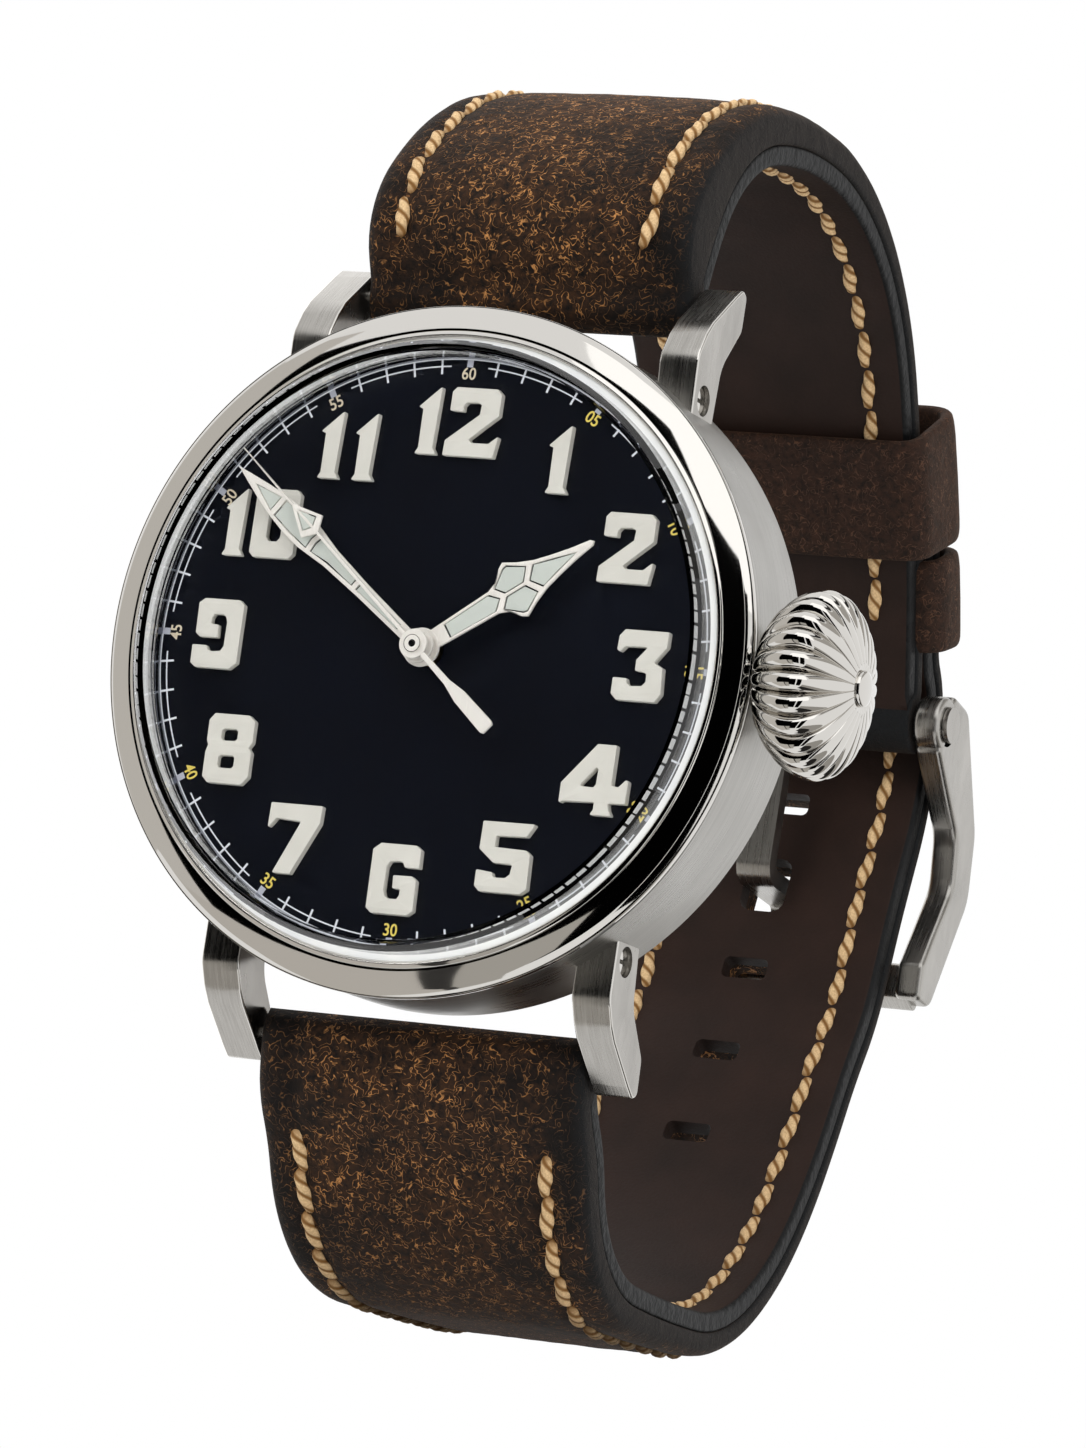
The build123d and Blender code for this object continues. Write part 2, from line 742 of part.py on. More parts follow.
def stem():
    """Winding stem with the groove for the setting lever."""
    end = flank_radius + tube_reach + free_gap + stem_screw_length
    shaft = rod(stem_radius, stem_inner_end, end, -crown_height, 0)
    groove_end = lever_start + lever_length
    groove = rod(2 * stem_radius, lever_start, groove_end, -crown_height, 0)
    groove -= rod(stem_radius - lever_groove, lever_start, groove_end, -crown_height, 0)
    return shaft - groove


# Crown: places along it and radii there, as shares of its length and largest radius
crown_profile_shares = [
    (0.0, 0.56), (0.08, 0.70), (0.22, 0.86), (0.40, 0.97), (0.56, 1.0),
    (0.71, 0.94), (0.84, 0.78), (0.94, 0.53), (1.0, 0.26),
]


def lobed_section(along, radius):
    """Closed outline of round lobes across the crown."""
    plane = Plane(origin=(along, -crown_height, 0), x_dir=(0, 1, 0), z_dir=(1, 0, 0))
    step = 360 / crown_lobes
    places = []
    for index in range(crown_lobes):
        for turn_share, radius_share in lobe_shares:
            places.append(clock_place(radius * radius_share, (index + turn_share) * step))
    return plane * make_face(Polyline(*places, close=True))


def crown():
    """Onion crown with round lobes, a button at its end and a bore for tube and stem."""
    start = flank_radius + crown_gap
    sections = []
    for along_share, radius_share in crown_profile_shares:
        sections.append(lobed_section(start + crown_length * along_share, crown_radius * radius_share))
    body = loft(sections, ruled=True)
    body += rod(crown_button_radius, start + crown_length - crown_gap,
                start + crown_length + crown_button_length, -crown_height, 0)
    tube_end = flank_radius + tube_reach + free_gap
    body -= rod(tube_radius + running_gap, start - overrun, tube_end, -crown_height, 0)
    body -= rod(stem_radius, start, tube_end + stem_screw_length, -crown_height, 0)
    return body - crown_gasket()


def crown_gasket():
    """Sealing ring inside the crown, round the tube."""
    start = flank_radius + crown_gap + crown_seal_inset
    end = start + crown_seal_length
    outer = rod(tube_radius + crown_seal_width, start, end, -crown_height, 0)
    return outer - rod(tube_radius + running_gap, start, end, -crown_height, 0)


# Lug in side view: shares of the shoulder's height, of the length from its root, and for the fillet
lug_outline_shares = [
    (0.985, 0, 0), (1.0, 0.46, 0.15), (0.86, 0.61, 0.15), (0.74, 0.695, 0), (0.27, 0.937, 0.075),
    (0.17, 1.0, 0.07), (0.02, 0.91, 0.05), (0.03, 0.735, 0.075), (0.40, 0.46, 0.27), (0.47, 0, 0),
]
LUG_PLACES = ((1, 1), (-1, 1), (1, -1), (-1, -1))


def lug_blank(side, end):
    """One lug before its holes, cut off where it is let into the flank."""
    places = []
    radii = []
    for height_share, length_share, fillet_share in lug_outline_shares:
        places.append((-lug_shoulder * height_share, lug_root + lug_length * length_share))
        radii.append(lug_length * fillet_share)
    outline = FilletPolyline(*places, radius=radii, close=True)
    plane = Plane(origin=(lug_inner, 0, 0), x_dir=(0, 1, 0), z_dir=(1, 0, 0))
    body = extrude(plane * make_face(outline), lug_width)
    body -= disc(flank_radius - lug_seat_depth, -overrun, seat_height)
    if side < 0:
        body = mirror(body, about=Plane.YZ)
    if end < 0:
        body = mirror(body, about=Plane.XY)
    return body


def lug_screw_hole(side, end):
    """Stepped hole for a lug's screw, from the lug's outer flank into the case."""
    floor = lug_outer - lug_screw_sink - lug_screw_head
    reach = end * lug_screw_reach
    hole = rod(lug_screw_head_radius + lug_screw_play, floor, lug_outer + overrun, -lug_screw_height, reach)
    hole += rod(lug_screw_shank_radius, floor - lug_screw_shank, floor, -lug_screw_height, reach)
    return hole if side > 0 else mirror(hole, about=Plane.YZ)


def lug(side, end):
    """Lug with the blind hole for the spring bar and the hole for its screw."""
    body = lug_blank(side, end) - lug_screw_hole(side, end)
    hole = rod(bar_tip_radius + running_gap, lug_inner - overrun,
               strap_half_width + bar_tip_length + running_gap, -bar_height, end * bar_reach)
    return body - (hole if side > 0 else mirror(hole, about=Plane.YZ))


def lug_screws():
    """Four slotted screws, one in each lug's outer flank."""
    screws = []
    for side, end in LUG_PLACES:
        top = lug_outer - lug_screw_sink
        floor = top - lug_screw_head
        reach = end * lug_screw_reach
        screw = rod(lug_screw_head_radius, floor, top, -lug_screw_height, reach)
        screw += rod(lug_screw_shank_radius, floor - lug_screw_shank, floor, -lug_screw_height, reach)
        slot_low = (top - screw_slot_depth, -lug_screw_height - screw_slot_width / 2, reach - overrun)
        slot_high = (top + overrun, -lug_screw_height + screw_slot_width / 2, reach + overrun)
        screw -= block(slot_low, slot_high)
        screws.append(screw if side > 0 else mirror(screw, about=Plane.YZ))
    return screws


def spring_bar(end):
    """Spring bar between two lugs, with thinner tips."""
    half = strap_half_width - bar_end_gap
    tip = strap_half_width + bar_tip_length
    bar = rod(bar_radius, -half, half, -bar_height, end * bar_reach)
    return bar + rod(bar_tip_radius, -tip, tip, -bar_height, end * bar_reach)


def heading_vector(angle):
    """Unit vector along a heading, in side view."""
    return Vector(cos(radians(angle)), sin(radians(angle)))


def outward(angle):
    """Unit vector away from the wrist, square to a heading."""
    return Vector(-sin(radians(angle)), cos(radians(angle)))


def biarc(start, start_angle, end, end_angle):
    """Two arcs that join smoothly, from one station to the next."""
    t0 = heading_vector(start_angle)
    t1 = heading_vector(end_angle)
    run = end - start
    both = t0 + t1
    square = run.dot(run)
    lean = 2 * (1 - t0.dot(t1))
    if lean < nearly_straight ** 2:
        span = square / (4 * run.dot(t1))
    else:
        span = (-run.dot(both) + sqrt(run.dot(both) ** 2 + lean * square)) / lean
    middle = (start + end + (t0 - t1) * span) * 0.5
    return [smooth_arc(start, middle, t0), smooth_arc(end, middle, t1 * -1)]


def smooth_arc(start, end, tangent):
    """Arc that leaves its start in a given direction, or a line where it is all but straight."""
    run = end - start
    if abs(run.X * tangent.Y - run.Y * tangent.X) < nearly_straight * run.length:
        return Line(start, end)
    return TangentArc(start, end, tangent=tangent)


def band(stations, inner_offsets, outer_offsets):
    """Side view of one layer of the strap, between two offsets from the wrist side."""
    edges = []
    rails = []
    for offsets in (inner_offsets, outer_offsets):
        rail = [place + outward(angle) * offset for (place, angle), offset in zip(stations, offsets)]
        rails.append(rail)
        for index in range(len(rail) - 1):
            edges += biarc(rail[index], stations[index][1], rail[index + 1], stations[index + 1][1])
    edges.append(Line(rails[0][0], rails[1][0]))
    edges.append(Line(rails[0][-1], rails[1][-1]))
    return make_face(Curve() + edges)


def strap_layer(face, lower):
    """Solid of a side view: extruded, tapered towards the buckle, and turned over for the lower half."""
    start = -bar_height - strap_thickness - overrun
    end = buckle_depth + buckle_bow
    slope = (strap_tip_half_width - strap_half_width) / (buckle_depth + bar_height)
    start_half = strap_half_width
    bend = -bar_height
    end_half = strap_half_width + slope * (end - bend)
    plan = Polyline(
        (-start_half, start), (start_half, start), (start_half, bend), (end_half, end),
        (-end_half, end), (-start_half, bend), close=True,
    )
    height = 2 * upper_crest
    prism = extrude(Plane.XY.offset(-height) * make_face(plan), 2 * height)
    solid = extrude(SIDE * face, strap_half_width + overrun, both=True) & prism
    return mirror(solid, about=Plane.XY) if lower else solid


def arc_centre():
    """Centre of the long arc under the keepers, in side view."""
    angle = keeper_arc_low_angle
    end = arc_end_place()
    return Vector(end.X - keeper_arc_radius * cos(radians(angle)), end.Y - keeper_arc_radius * sin(radians(angle)))


def arc_end_place():
    """Wrist side of the upper strap where its long arc ends, short of the buckle bar."""
    heading = keeper_arc_low_angle - 90
    bar = Vector(buckle_depth, buckle_height)
    return bar - heading_vector(heading) * strap_end_run - outward(heading) * strap_end_lift


def on_arc(radius, angle):
    """Place at a radius and angle about the centre of the long arc."""
    return arc_centre() + heading_vector(angle) * radius


# Stations of the upper half: shares of the buckle's depth and of the crest's height, heading, thickness
upper_station_shares = [(0.049, 0.795, 60), (0.355, 1.0, 0)]
lower_station_shares = [(0.058, 0.815, 62), (0.453, 1.0, 0), (0.76, 0.789, -52), (0.881, 0.559, -64)]


def strap_start():
    """Wrist side of the strap at the spring bar."""
    return Vector(strap_end_radius - bar_height, bar_reach)


strap_start_heading = 84


def upper_stations():
    """Stations of the upper half, from the spring bar to the end of the long arc."""
    stations = [(strap_start(), strap_start_heading)]
    for depth_share, height_share, heading in upper_station_shares:
        stations.append((Vector(buckle_depth * depth_share, upper_crest * height_share), heading))
    for angle in (keeper_arc_high_angle, keeper_arc_low_angle):
        stations.append((on_arc(keeper_arc_radius, angle), angle - 90))
    heading = keeper_arc_low_angle - 90
    stations.append((arc_end_place() + heading_vector(heading) * strap_end_run, heading))
    return stations


def upper_thicknesses():
    """Thickness of the upper half at each station."""
    return [2 * strap_end_radius, pad_thickness] + [strap_thickness] * 4


def tail_radius():
    """Radius of the tail's wrist side where it lies on the upper half."""
    return keeper_arc_radius + strap_thickness + leather_gap


def flipped(place):
    """The same place turned over, bottom to top."""
    return Vector(place.X, -place.Y)


# Place of the tail short of the buckle: shares of the buckle's depth and of the lower crest
tail_entry_shares = (0.971, 0.311, -75)
over_bar_heading = -95
over_bar_lift = 2.65          # wrist side of the tail over the buckle bar


def lower_stations():
    """Stations of the lower half, turned over, from the spring bar to the tail's tip."""
    stations = [(strap_start(), strap_start_heading)]
    for depth_share, height_share, heading in lower_station_shares:
        stations.append((Vector(buckle_depth * depth_share, lower_crest * height_share), heading))
    entry_depth, entry_height, entry_heading = tail_entry_shares
    stations.append((Vector(buckle_depth * entry_depth, lower_crest * entry_height), entry_heading))
    bar = Vector(buckle_depth, buckle_height)
    bar_angle = degrees(atan2((bar - arc_centre()).Y, (bar - arc_centre()).X))
    over = bar + heading_vector(bar_angle) * over_bar_lift
    stations.append((flipped(over), over_bar_heading))
    for angle in (tail_join_angle, tail_end_angle):
        stations.append((flipped(on_arc(tail_radius(), angle)), -angle - 90))
    return stations


def lower_thicknesses():
    """Thickness of the lower half at each station."""
    thick = [2 * strap_end_radius, pad_thickness, strap_thickness, strap_thickness, tail_thickness]
    return thick + [tail_thickness] * 4


def end_loop(layer_face):
    """Side view with the loop of leather round the spring bar added."""
    middle = Pos(-bar_height, bar_reach)
    return layer_face + middle * Circle(strap_end_radius) - middle * Circle(bar_radius + strap_bore_gap)


def upper_strap_lining():
    """Wrist-side layer of the upper half."""
    stations = upper_stations()
    face = band(stations, [0] * len(stations), [lining_thickness] * len(stations))
    face -= Pos(-bar_height, bar_reach) * Circle(strap_end_radius)
    middle = Pos(buckle_depth, buckle_height)
    face -= middle * Circle(buckle_loop_radius)
    return strap_layer(face, False)


def keeper_sector(inner, outer, angles, half_width):
    """Sector of a ring about the long arc's centre, as wide as twice the half width."""
    centre = arc_centre()
    low, high = angles
    edges = [
        CenterArc((centre.X, centre.Y), inner, low, high - low),
        CenterArc((centre.X, centre.Y), outer, low, high - low),
        Line(on_arc(inner, low), on_arc(outer, low)),
        Line(on_arc(inner, high), on_arc(outer, high)),
    ]
    return extrude(SIDE * make_face(Curve() + edges), half_width, both=True)


def upper_strap_leather():
    """Outer layer of the upper half, with its end loops, the tongue's gap and the keeper's pocket."""
    stations = upper_stations()
    face = end_loop(band(stations, [lining_thickness] * len(stations), upper_thicknesses()))
    middle = Pos(buckle_depth, buckle_height)
    face = face + middle * Circle(buckle_loop_radius) - middle * Circle(buckle_bar_radius + running_gap)
    body = strap_layer(face, False)
    gap_face = middle * Rot(0, 0, keeper_arc_low_angle) * Rectangle(2 * strap_thickness + 2 * buckle_loop_radius,
                                                                     2 * tongue_gap_length)
    body -= extrude(SIDE * gap_face, tongue_gap_half, both=True)
    pocket_low = keeper_arc_radius + lining_thickness
    body -= keeper_sector(pocket_low, pocket_low + keeper_inner_wall, fixed_keeper_angles, case_radius)
    return body


def slot_cut(index):
    """Cutter for one slot of the tail; slot 0 is the one in use."""
    before, entry, over = [(flipped(place), -heading) for place, heading in lower_stations()[4:7]]
    height = used_slot_place() - index * slot_pitch
    first, last = (entry, over) if height > entry[0].Y else (before, entry)
    share = (height - first[0].Y) / (last[0].Y - first[0].Y)
    place = first[0] + (last[0] - first[0]) * share
    heading = first[1] + (last[1] - first[1]) * share
    tall = used_slot_height if index == 0 else slot_height
    face = Pos(place.X, place.Y) * Rot(0, 0, heading - 90) * Rectangle(4 * tail_thickness, tall)
    return extrude(SIDE * face, slot_width / 2, both=True)


def used_slot_place():
    """Height above the middle of the slot that the tongue goes through."""
    return buckle_height - used_slot_share * buckle_drop


def lower_strap_lining():
    """Wrist-side layer of the lower half and its tail."""
    stations = lower_stations()
    face = band(stations, [0] * len(stations), [lining_thickness] * len(stations))
    face -= Pos(-bar_height, bar_reach) * Circle(strap_end_radius)
    body = strap_layer(face, True)
    for index in range(-slots_above, slots_below):
        body -= slot_cut(index)
    return body


def lower_strap_leather():
    """Outer layer of the lower half and its tail."""
    stations = lower_stations()
    face = end_loop(band(stations, [lining_thickness] * len(stations), lower_thicknesses()))
    body = strap_layer(face, True)
    for index in range(-slots_above, slots_below):
        body -= slot_cut(index)
    return body


def keeper_reach():
    """Radius of the air over the tail inside the keepers."""
    return tail_radius() + tail_thickness + leather_gap


def fixed_keeper():
    """Keeper sewn between the strap's layers."""
    low = keeper_arc_radius + lining_thickness
    outer = keeper_sector(low, keeper_reach() + keeper_wall, fixed_keeper_angles, keeper_half_width + keeper_wall)
    room = keeper_sector(low + keeper_inner_wall, keeper_reach(), wider(fixed_keeper_angles), keeper_half_width)
    return outer - room


def free_keeper():
    """Keeper that slides along both layers of the strap."""
    low = keeper_arc_radius - leather_gap
    outer = keeper_sector(low - keeper_wall, keeper_reach() + keeper_wall, free_keeper_angles,
                          keeper_half_width + keeper_wall)
    return outer - keeper_sector(low, keeper_reach(), wider(free_keeper_angles), keeper_half_width)


def wider(angles):
    """The same pair of angles with room past each end."""
    return (angles[0] - angle_overrun, angles[1] + angle_overrun)


# Buckle arm in side view: shares of the bow and of the drop, from the buckle bar
arm_outer_shares = [
    (0.10, -0.115), (0.45, -0.085), (0.97, 0.33), (1.0, 0.58), (0.44, 1.0), (0.15, 0.985),
]
arm_inner_shares = [(0.16, 0.86), (0.60, 0.555), (0.55, 0.37), (-0.10, 0.10)]
arm_fillet_shares = [0.5, 1.2, 3.0, 3.0, 0.8, 0.5, 0.8, 2.0, 2.0, 0.5]


def buckle_frame():
    """Bowed buckle: two arms with eyes on the bar, joined by the far bar."""
    places = []
    for bow_share, drop_share in arm_outer_shares + arm_inner_shares:
        places.append((buckle_depth + buckle_bow * bow_share, buckle_height - buckle_drop * drop_share))
    radii = [arm_fillet * share for share in arm_fillet_shares]
    outline = make_face(FilletPolyline(*places, radius=radii, close=True))
    middle = Pos(buckle_depth, buckle_height)
    side_face = outline + middle * Circle(eye_radius())
    bore = middle * Circle(buckle_bar_radius + running_gap)
    plane = Plane(origin=(arm_inner, 0, 0), x_dir=(0, 1, 0), z_dir=(1, 0, 0))
    arm = extrude(plane * (side_face - bore), arm_width)
    body = arm + mirror(arm, about=Plane.YZ)
    return body + far_bar()


def eye_radius():
    """Outside radius of the buckle's eyes."""
    return buckle_bar_radius + running_gap + tongue_thickness


def far_bar_place():
    """Middle of the far bar in side view."""
    return Vector(buckle_depth + far_bar_depth, buckle_height - far_bar_drop)


def far_bar():
    """Rounded bar that joins the arms and carries the tongue's tip."""
    place = far_bar_place()
    section = RectangleRounded(far_bar_thickness, far_bar_width, far_bar_round)
    face = Pos(place.X, place.Y) * Rot(0, 0, far_bar_tilt) * section
    return extrude(SIDE * face, arm_inner + arm_width / 2, both=True)


def buckle_bar():
    """Bar through the strap's end loop, the tongue and the buckle's eyes."""
    half = arm_inner + arm_width
    bar = rod(buckle_bar_radius, -half - running_gap, half + running_gap, buckle_depth, buckle_height)
    for start in (-half - running_gap - buckle_bar_head_length, half + running_gap):
        bar += rod(buckle_bar_head, start, start + buckle_bar_head_length, buckle_depth, buckle_height)
    return bar


# Tongue in side view: shares of the bow and of the drop, from the buckle bar
tongue_path_shares = [(-0.165, 0.0), (-0.24, 0.58), (0.62, 0.62), (0.62, 1.0)]


def tongue_path_places():
    """Middle line of the tongue in side view."""
    return [(buckle_depth + buckle_bow * bow, buckle_height - buckle_drop * drop)
            for bow, drop in tongue_path_shares]


def buckle_tongue():
    """Tongue: a ring round the bar, a shank through the slot and a tip over the far bar."""
    path = FilletPolyline(*tongue_path_places(), radius=tongue_thickness)
    middle = Pos(buckle_depth, buckle_height)
    ring_outer = buckle_bar_radius + running_gap + tongue_ring_wall
    face = trace(path, tongue_thickness) + middle * Circle(ring_outer)
    face -= middle * Circle(buckle_bar_radius + running_gap)
    return extrude(SIDE * face, tongue_width / 2, both=True)


def write(name, shape):
    """Write one node, as one solid or as a group of separate solids."""
    if isinstance(shape, list):
        shape = Compound(children=shape)
    export_step(shape, os.path.join("parts", name + ".step"))


def main():
    """Build every node and write its file."""
    os.makedirs("parts", exist_ok=True)
    nodes = {
        "case_back": case_back(),
        "case_back_gasket": case_back_gasket(),
        "mid_case": mid_case(),
        "bezel": bezel(),
        "crystal": crystal(),
        "crystal_gasket": crystal_gasket(),
        "flange_ring": flange_ring(),
        "dial": dial(),
        "hour_hand": hour_hand(),
        "hour_hand_lume": hand_lume(hour_cells(), hour_height, hour_angle),
        "hour_wheel": hour_wheel(),
        "minute_hand": minute_hand(),
        "minute_hand_lume": hand_lume(minute_cells(), minute_height, minute_angle),
        "cannon_pinion": cannon_pinion(),
        "seconds_hand": seconds_hand(),
        "seconds_hand_lume": hand_lume(seconds_cells(), seconds_height, seconds_angle),
        "seconds_arbor": seconds_arbor(),
        "mainplate": mainplate(),
        "movement_bridge": movement_bridge(),
        "bridge_screws": bridge_screws(),
        "balance_wheel": balance_wheel(),
        "balance_cock": balance_cock(),
        "rotor": rotor(),
        "rotor_bearing": rotor_bearing(),
        "movement_holder": movement_holder(),
        "setting_lever": setting_lever(),
        "stem": stem(),
        "crown_tube": crown_tube(),
        "crown": crown(),
        "crown_gasket": crown_gasket(),
        "lug_screws": lug_screws(),
        "upper_spring_bar": spring_bar(1),
        "lower_spring_bar": spring_bar(-1),
        "upper_strap_lining": upper_strap_lining(),
        "upper_strap_leather": upper_strap_leather(),
        "lower_strap_lining": lower_strap_lining(),
        "lower_strap_leather": lower_strap_leather(),
        "fixed_keeper": fixed_keeper(),
        "free_keeper": free_keeper(),
        "buckle_frame": buckle_frame(),
        "buckle_bar": buckle_bar(),
        "buckle_tongue": buckle_tongue(),
    }
    for side, end in LUG_PLACES:
        name = ("upper" if end > 0 else "lower") + ("_crown_side_lug" if side > 0 else "_far_side_lug")
        nodes[name] = lug(side, end)
    for name, shape in nodes.items():
        write(name, shape)


main()
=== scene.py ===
"""Pilot watch on a padded strap of worn nubuck, with its finishes, studio and camera.

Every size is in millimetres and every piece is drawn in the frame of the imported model:
the dial faces -Y, twelve o'clock is +Z, the crown is on +X, and a height h in front of the
case back lies at y = -h. A finished mesh is scaled to metres at its end.
"""
from __future__ import annotations

import json
import logging
import math
from collections.abc import Iterable, Sequence
from dataclasses import dataclass, field
from enum import Enum
from functools import cached_property

import bmesh
import bpy
from mathutils import Matrix, Vector, noise

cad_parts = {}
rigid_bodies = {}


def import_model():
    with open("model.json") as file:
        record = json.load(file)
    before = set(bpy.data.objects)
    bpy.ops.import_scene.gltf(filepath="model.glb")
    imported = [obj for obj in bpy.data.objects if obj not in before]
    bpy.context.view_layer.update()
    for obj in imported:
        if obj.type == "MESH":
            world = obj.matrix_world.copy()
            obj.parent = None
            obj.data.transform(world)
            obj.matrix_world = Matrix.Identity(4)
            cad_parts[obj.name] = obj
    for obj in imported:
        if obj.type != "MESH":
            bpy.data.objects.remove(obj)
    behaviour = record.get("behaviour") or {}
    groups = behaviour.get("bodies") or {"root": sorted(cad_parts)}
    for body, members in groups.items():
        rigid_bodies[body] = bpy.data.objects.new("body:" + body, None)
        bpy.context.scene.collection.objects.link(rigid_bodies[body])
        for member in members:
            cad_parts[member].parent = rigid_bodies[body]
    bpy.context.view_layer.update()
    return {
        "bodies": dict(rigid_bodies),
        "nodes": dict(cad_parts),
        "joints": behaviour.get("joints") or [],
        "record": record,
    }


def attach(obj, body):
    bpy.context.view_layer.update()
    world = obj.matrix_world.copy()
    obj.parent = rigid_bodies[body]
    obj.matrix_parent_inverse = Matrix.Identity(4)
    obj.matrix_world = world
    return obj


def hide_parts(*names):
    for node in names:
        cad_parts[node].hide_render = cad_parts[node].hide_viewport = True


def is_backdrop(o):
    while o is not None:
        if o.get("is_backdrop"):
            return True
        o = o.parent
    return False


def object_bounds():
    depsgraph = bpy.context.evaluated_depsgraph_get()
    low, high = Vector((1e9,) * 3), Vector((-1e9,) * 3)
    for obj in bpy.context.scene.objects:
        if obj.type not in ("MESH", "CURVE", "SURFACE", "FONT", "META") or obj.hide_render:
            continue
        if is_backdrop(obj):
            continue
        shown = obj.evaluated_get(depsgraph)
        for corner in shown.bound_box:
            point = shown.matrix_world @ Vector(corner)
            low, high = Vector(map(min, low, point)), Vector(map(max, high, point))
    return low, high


MM = 0.001
METRE = 1000.0
SAME = 0.001
SEAM = 0.0005
FINE_SEAM = 0.0002
ALIKE = 1e-6
SOFT_SEAM = 0.002
FULL_TURN = 2 * math.pi
HOUR_ANGLE = 30
MINUTE_ANGLE = 6
FRONT = Matrix.Rotation(math.radians(90), 4, "X")
SIDEWAYS = Matrix.Rotation(math.radians(90), 4, "Y")
LOG = logging.getLogger("watch")

Point = tuple[float, float]
Line = tuple[Point, ...]
Place = tuple[float, float, float]
Mesh = bmesh.types.BMesh
Vert = bmesh.types.BMVert
Socket = bpy.types.NodeSocket


class Coat(Enum):
    """Names of the finishes, which are also the names of their materials."""

    POLISHED = "mirror_polished_steel"
    BRUSHED = "circular_brushed_steel"
    SATIN = "straight_satin_steel"
    HAND = "fine_brushed_hand_steel"
    LUME = "cast_luminous_compound"
    CELL = "pale_luminous_filling"
    LACQUER = "black_dial_lacquer"
    REHAUT = "polished_black_ring"
    PRINT = "white_pad_print"
    MARK = "grey_pad_print"
    YELLOW = "yellow_pad_print"
    CREAM = "cream_pad_print"
    CRYSTAL = "coated_sapphire"
    RUBBER = "black_nitrile_rubber"
    GASKET = "white_nylon_gasket"
    BRASS = "grained_brass"
    NUBUCK = "oiled_distressed_nubuck"
    LINING = "smooth_calf_lining"
    EDGE = "painted_leather_edge"
    KEEPER = "brown_keeper_nubuck"
    THREAD = "waxed_linen_thread"


def linear(code: str) -> tuple[float, float, float, float]:
    """Turn an sRGB hex colour such as "#C8C6C2" into linear red, green, blue and alpha."""
    levels = [int(code[i:i + 2], 16) / 255 for i in (1, 3, 5)]
    light = [v / 12.92 if v <= 0.04045 else ((v + 0.055) / 1.055) ** 2.4 for v in levels]
    return (light[0], light[1], light[2], 1.0)


def per(size: float) -> float:
    """Texture scale, in cycles a metre, of a pattern whose real size is given in millimetres."""
    return 1 / (size * MM)


def add_node(tree: bpy.types.NodeTree, kind: str, settings: dict | None = None,
             links: dict | None = None) -> bpy.types.Node:
    """Add a node with its settings and links.

    Args:
        tree: Node tree of a material or of the world.
        kind: Blender's name for the kind of node.
        settings: Values by attribute name, or by the name or number of an input.
        links: Output sockets by the name or number of the input that they feed.

    Returns:
        The new node.
    """
    node = tree.nodes.new(kind)
    for key, value in (settings or {}).items():
        if isinstance(key, str) and hasattr(node, key):
            setattr(node, key, value)
        else:
            node.inputs[key].default_value = value
    for key, source in (links or {}).items():
        tree.links.new(source, node.inputs[key])
    return node


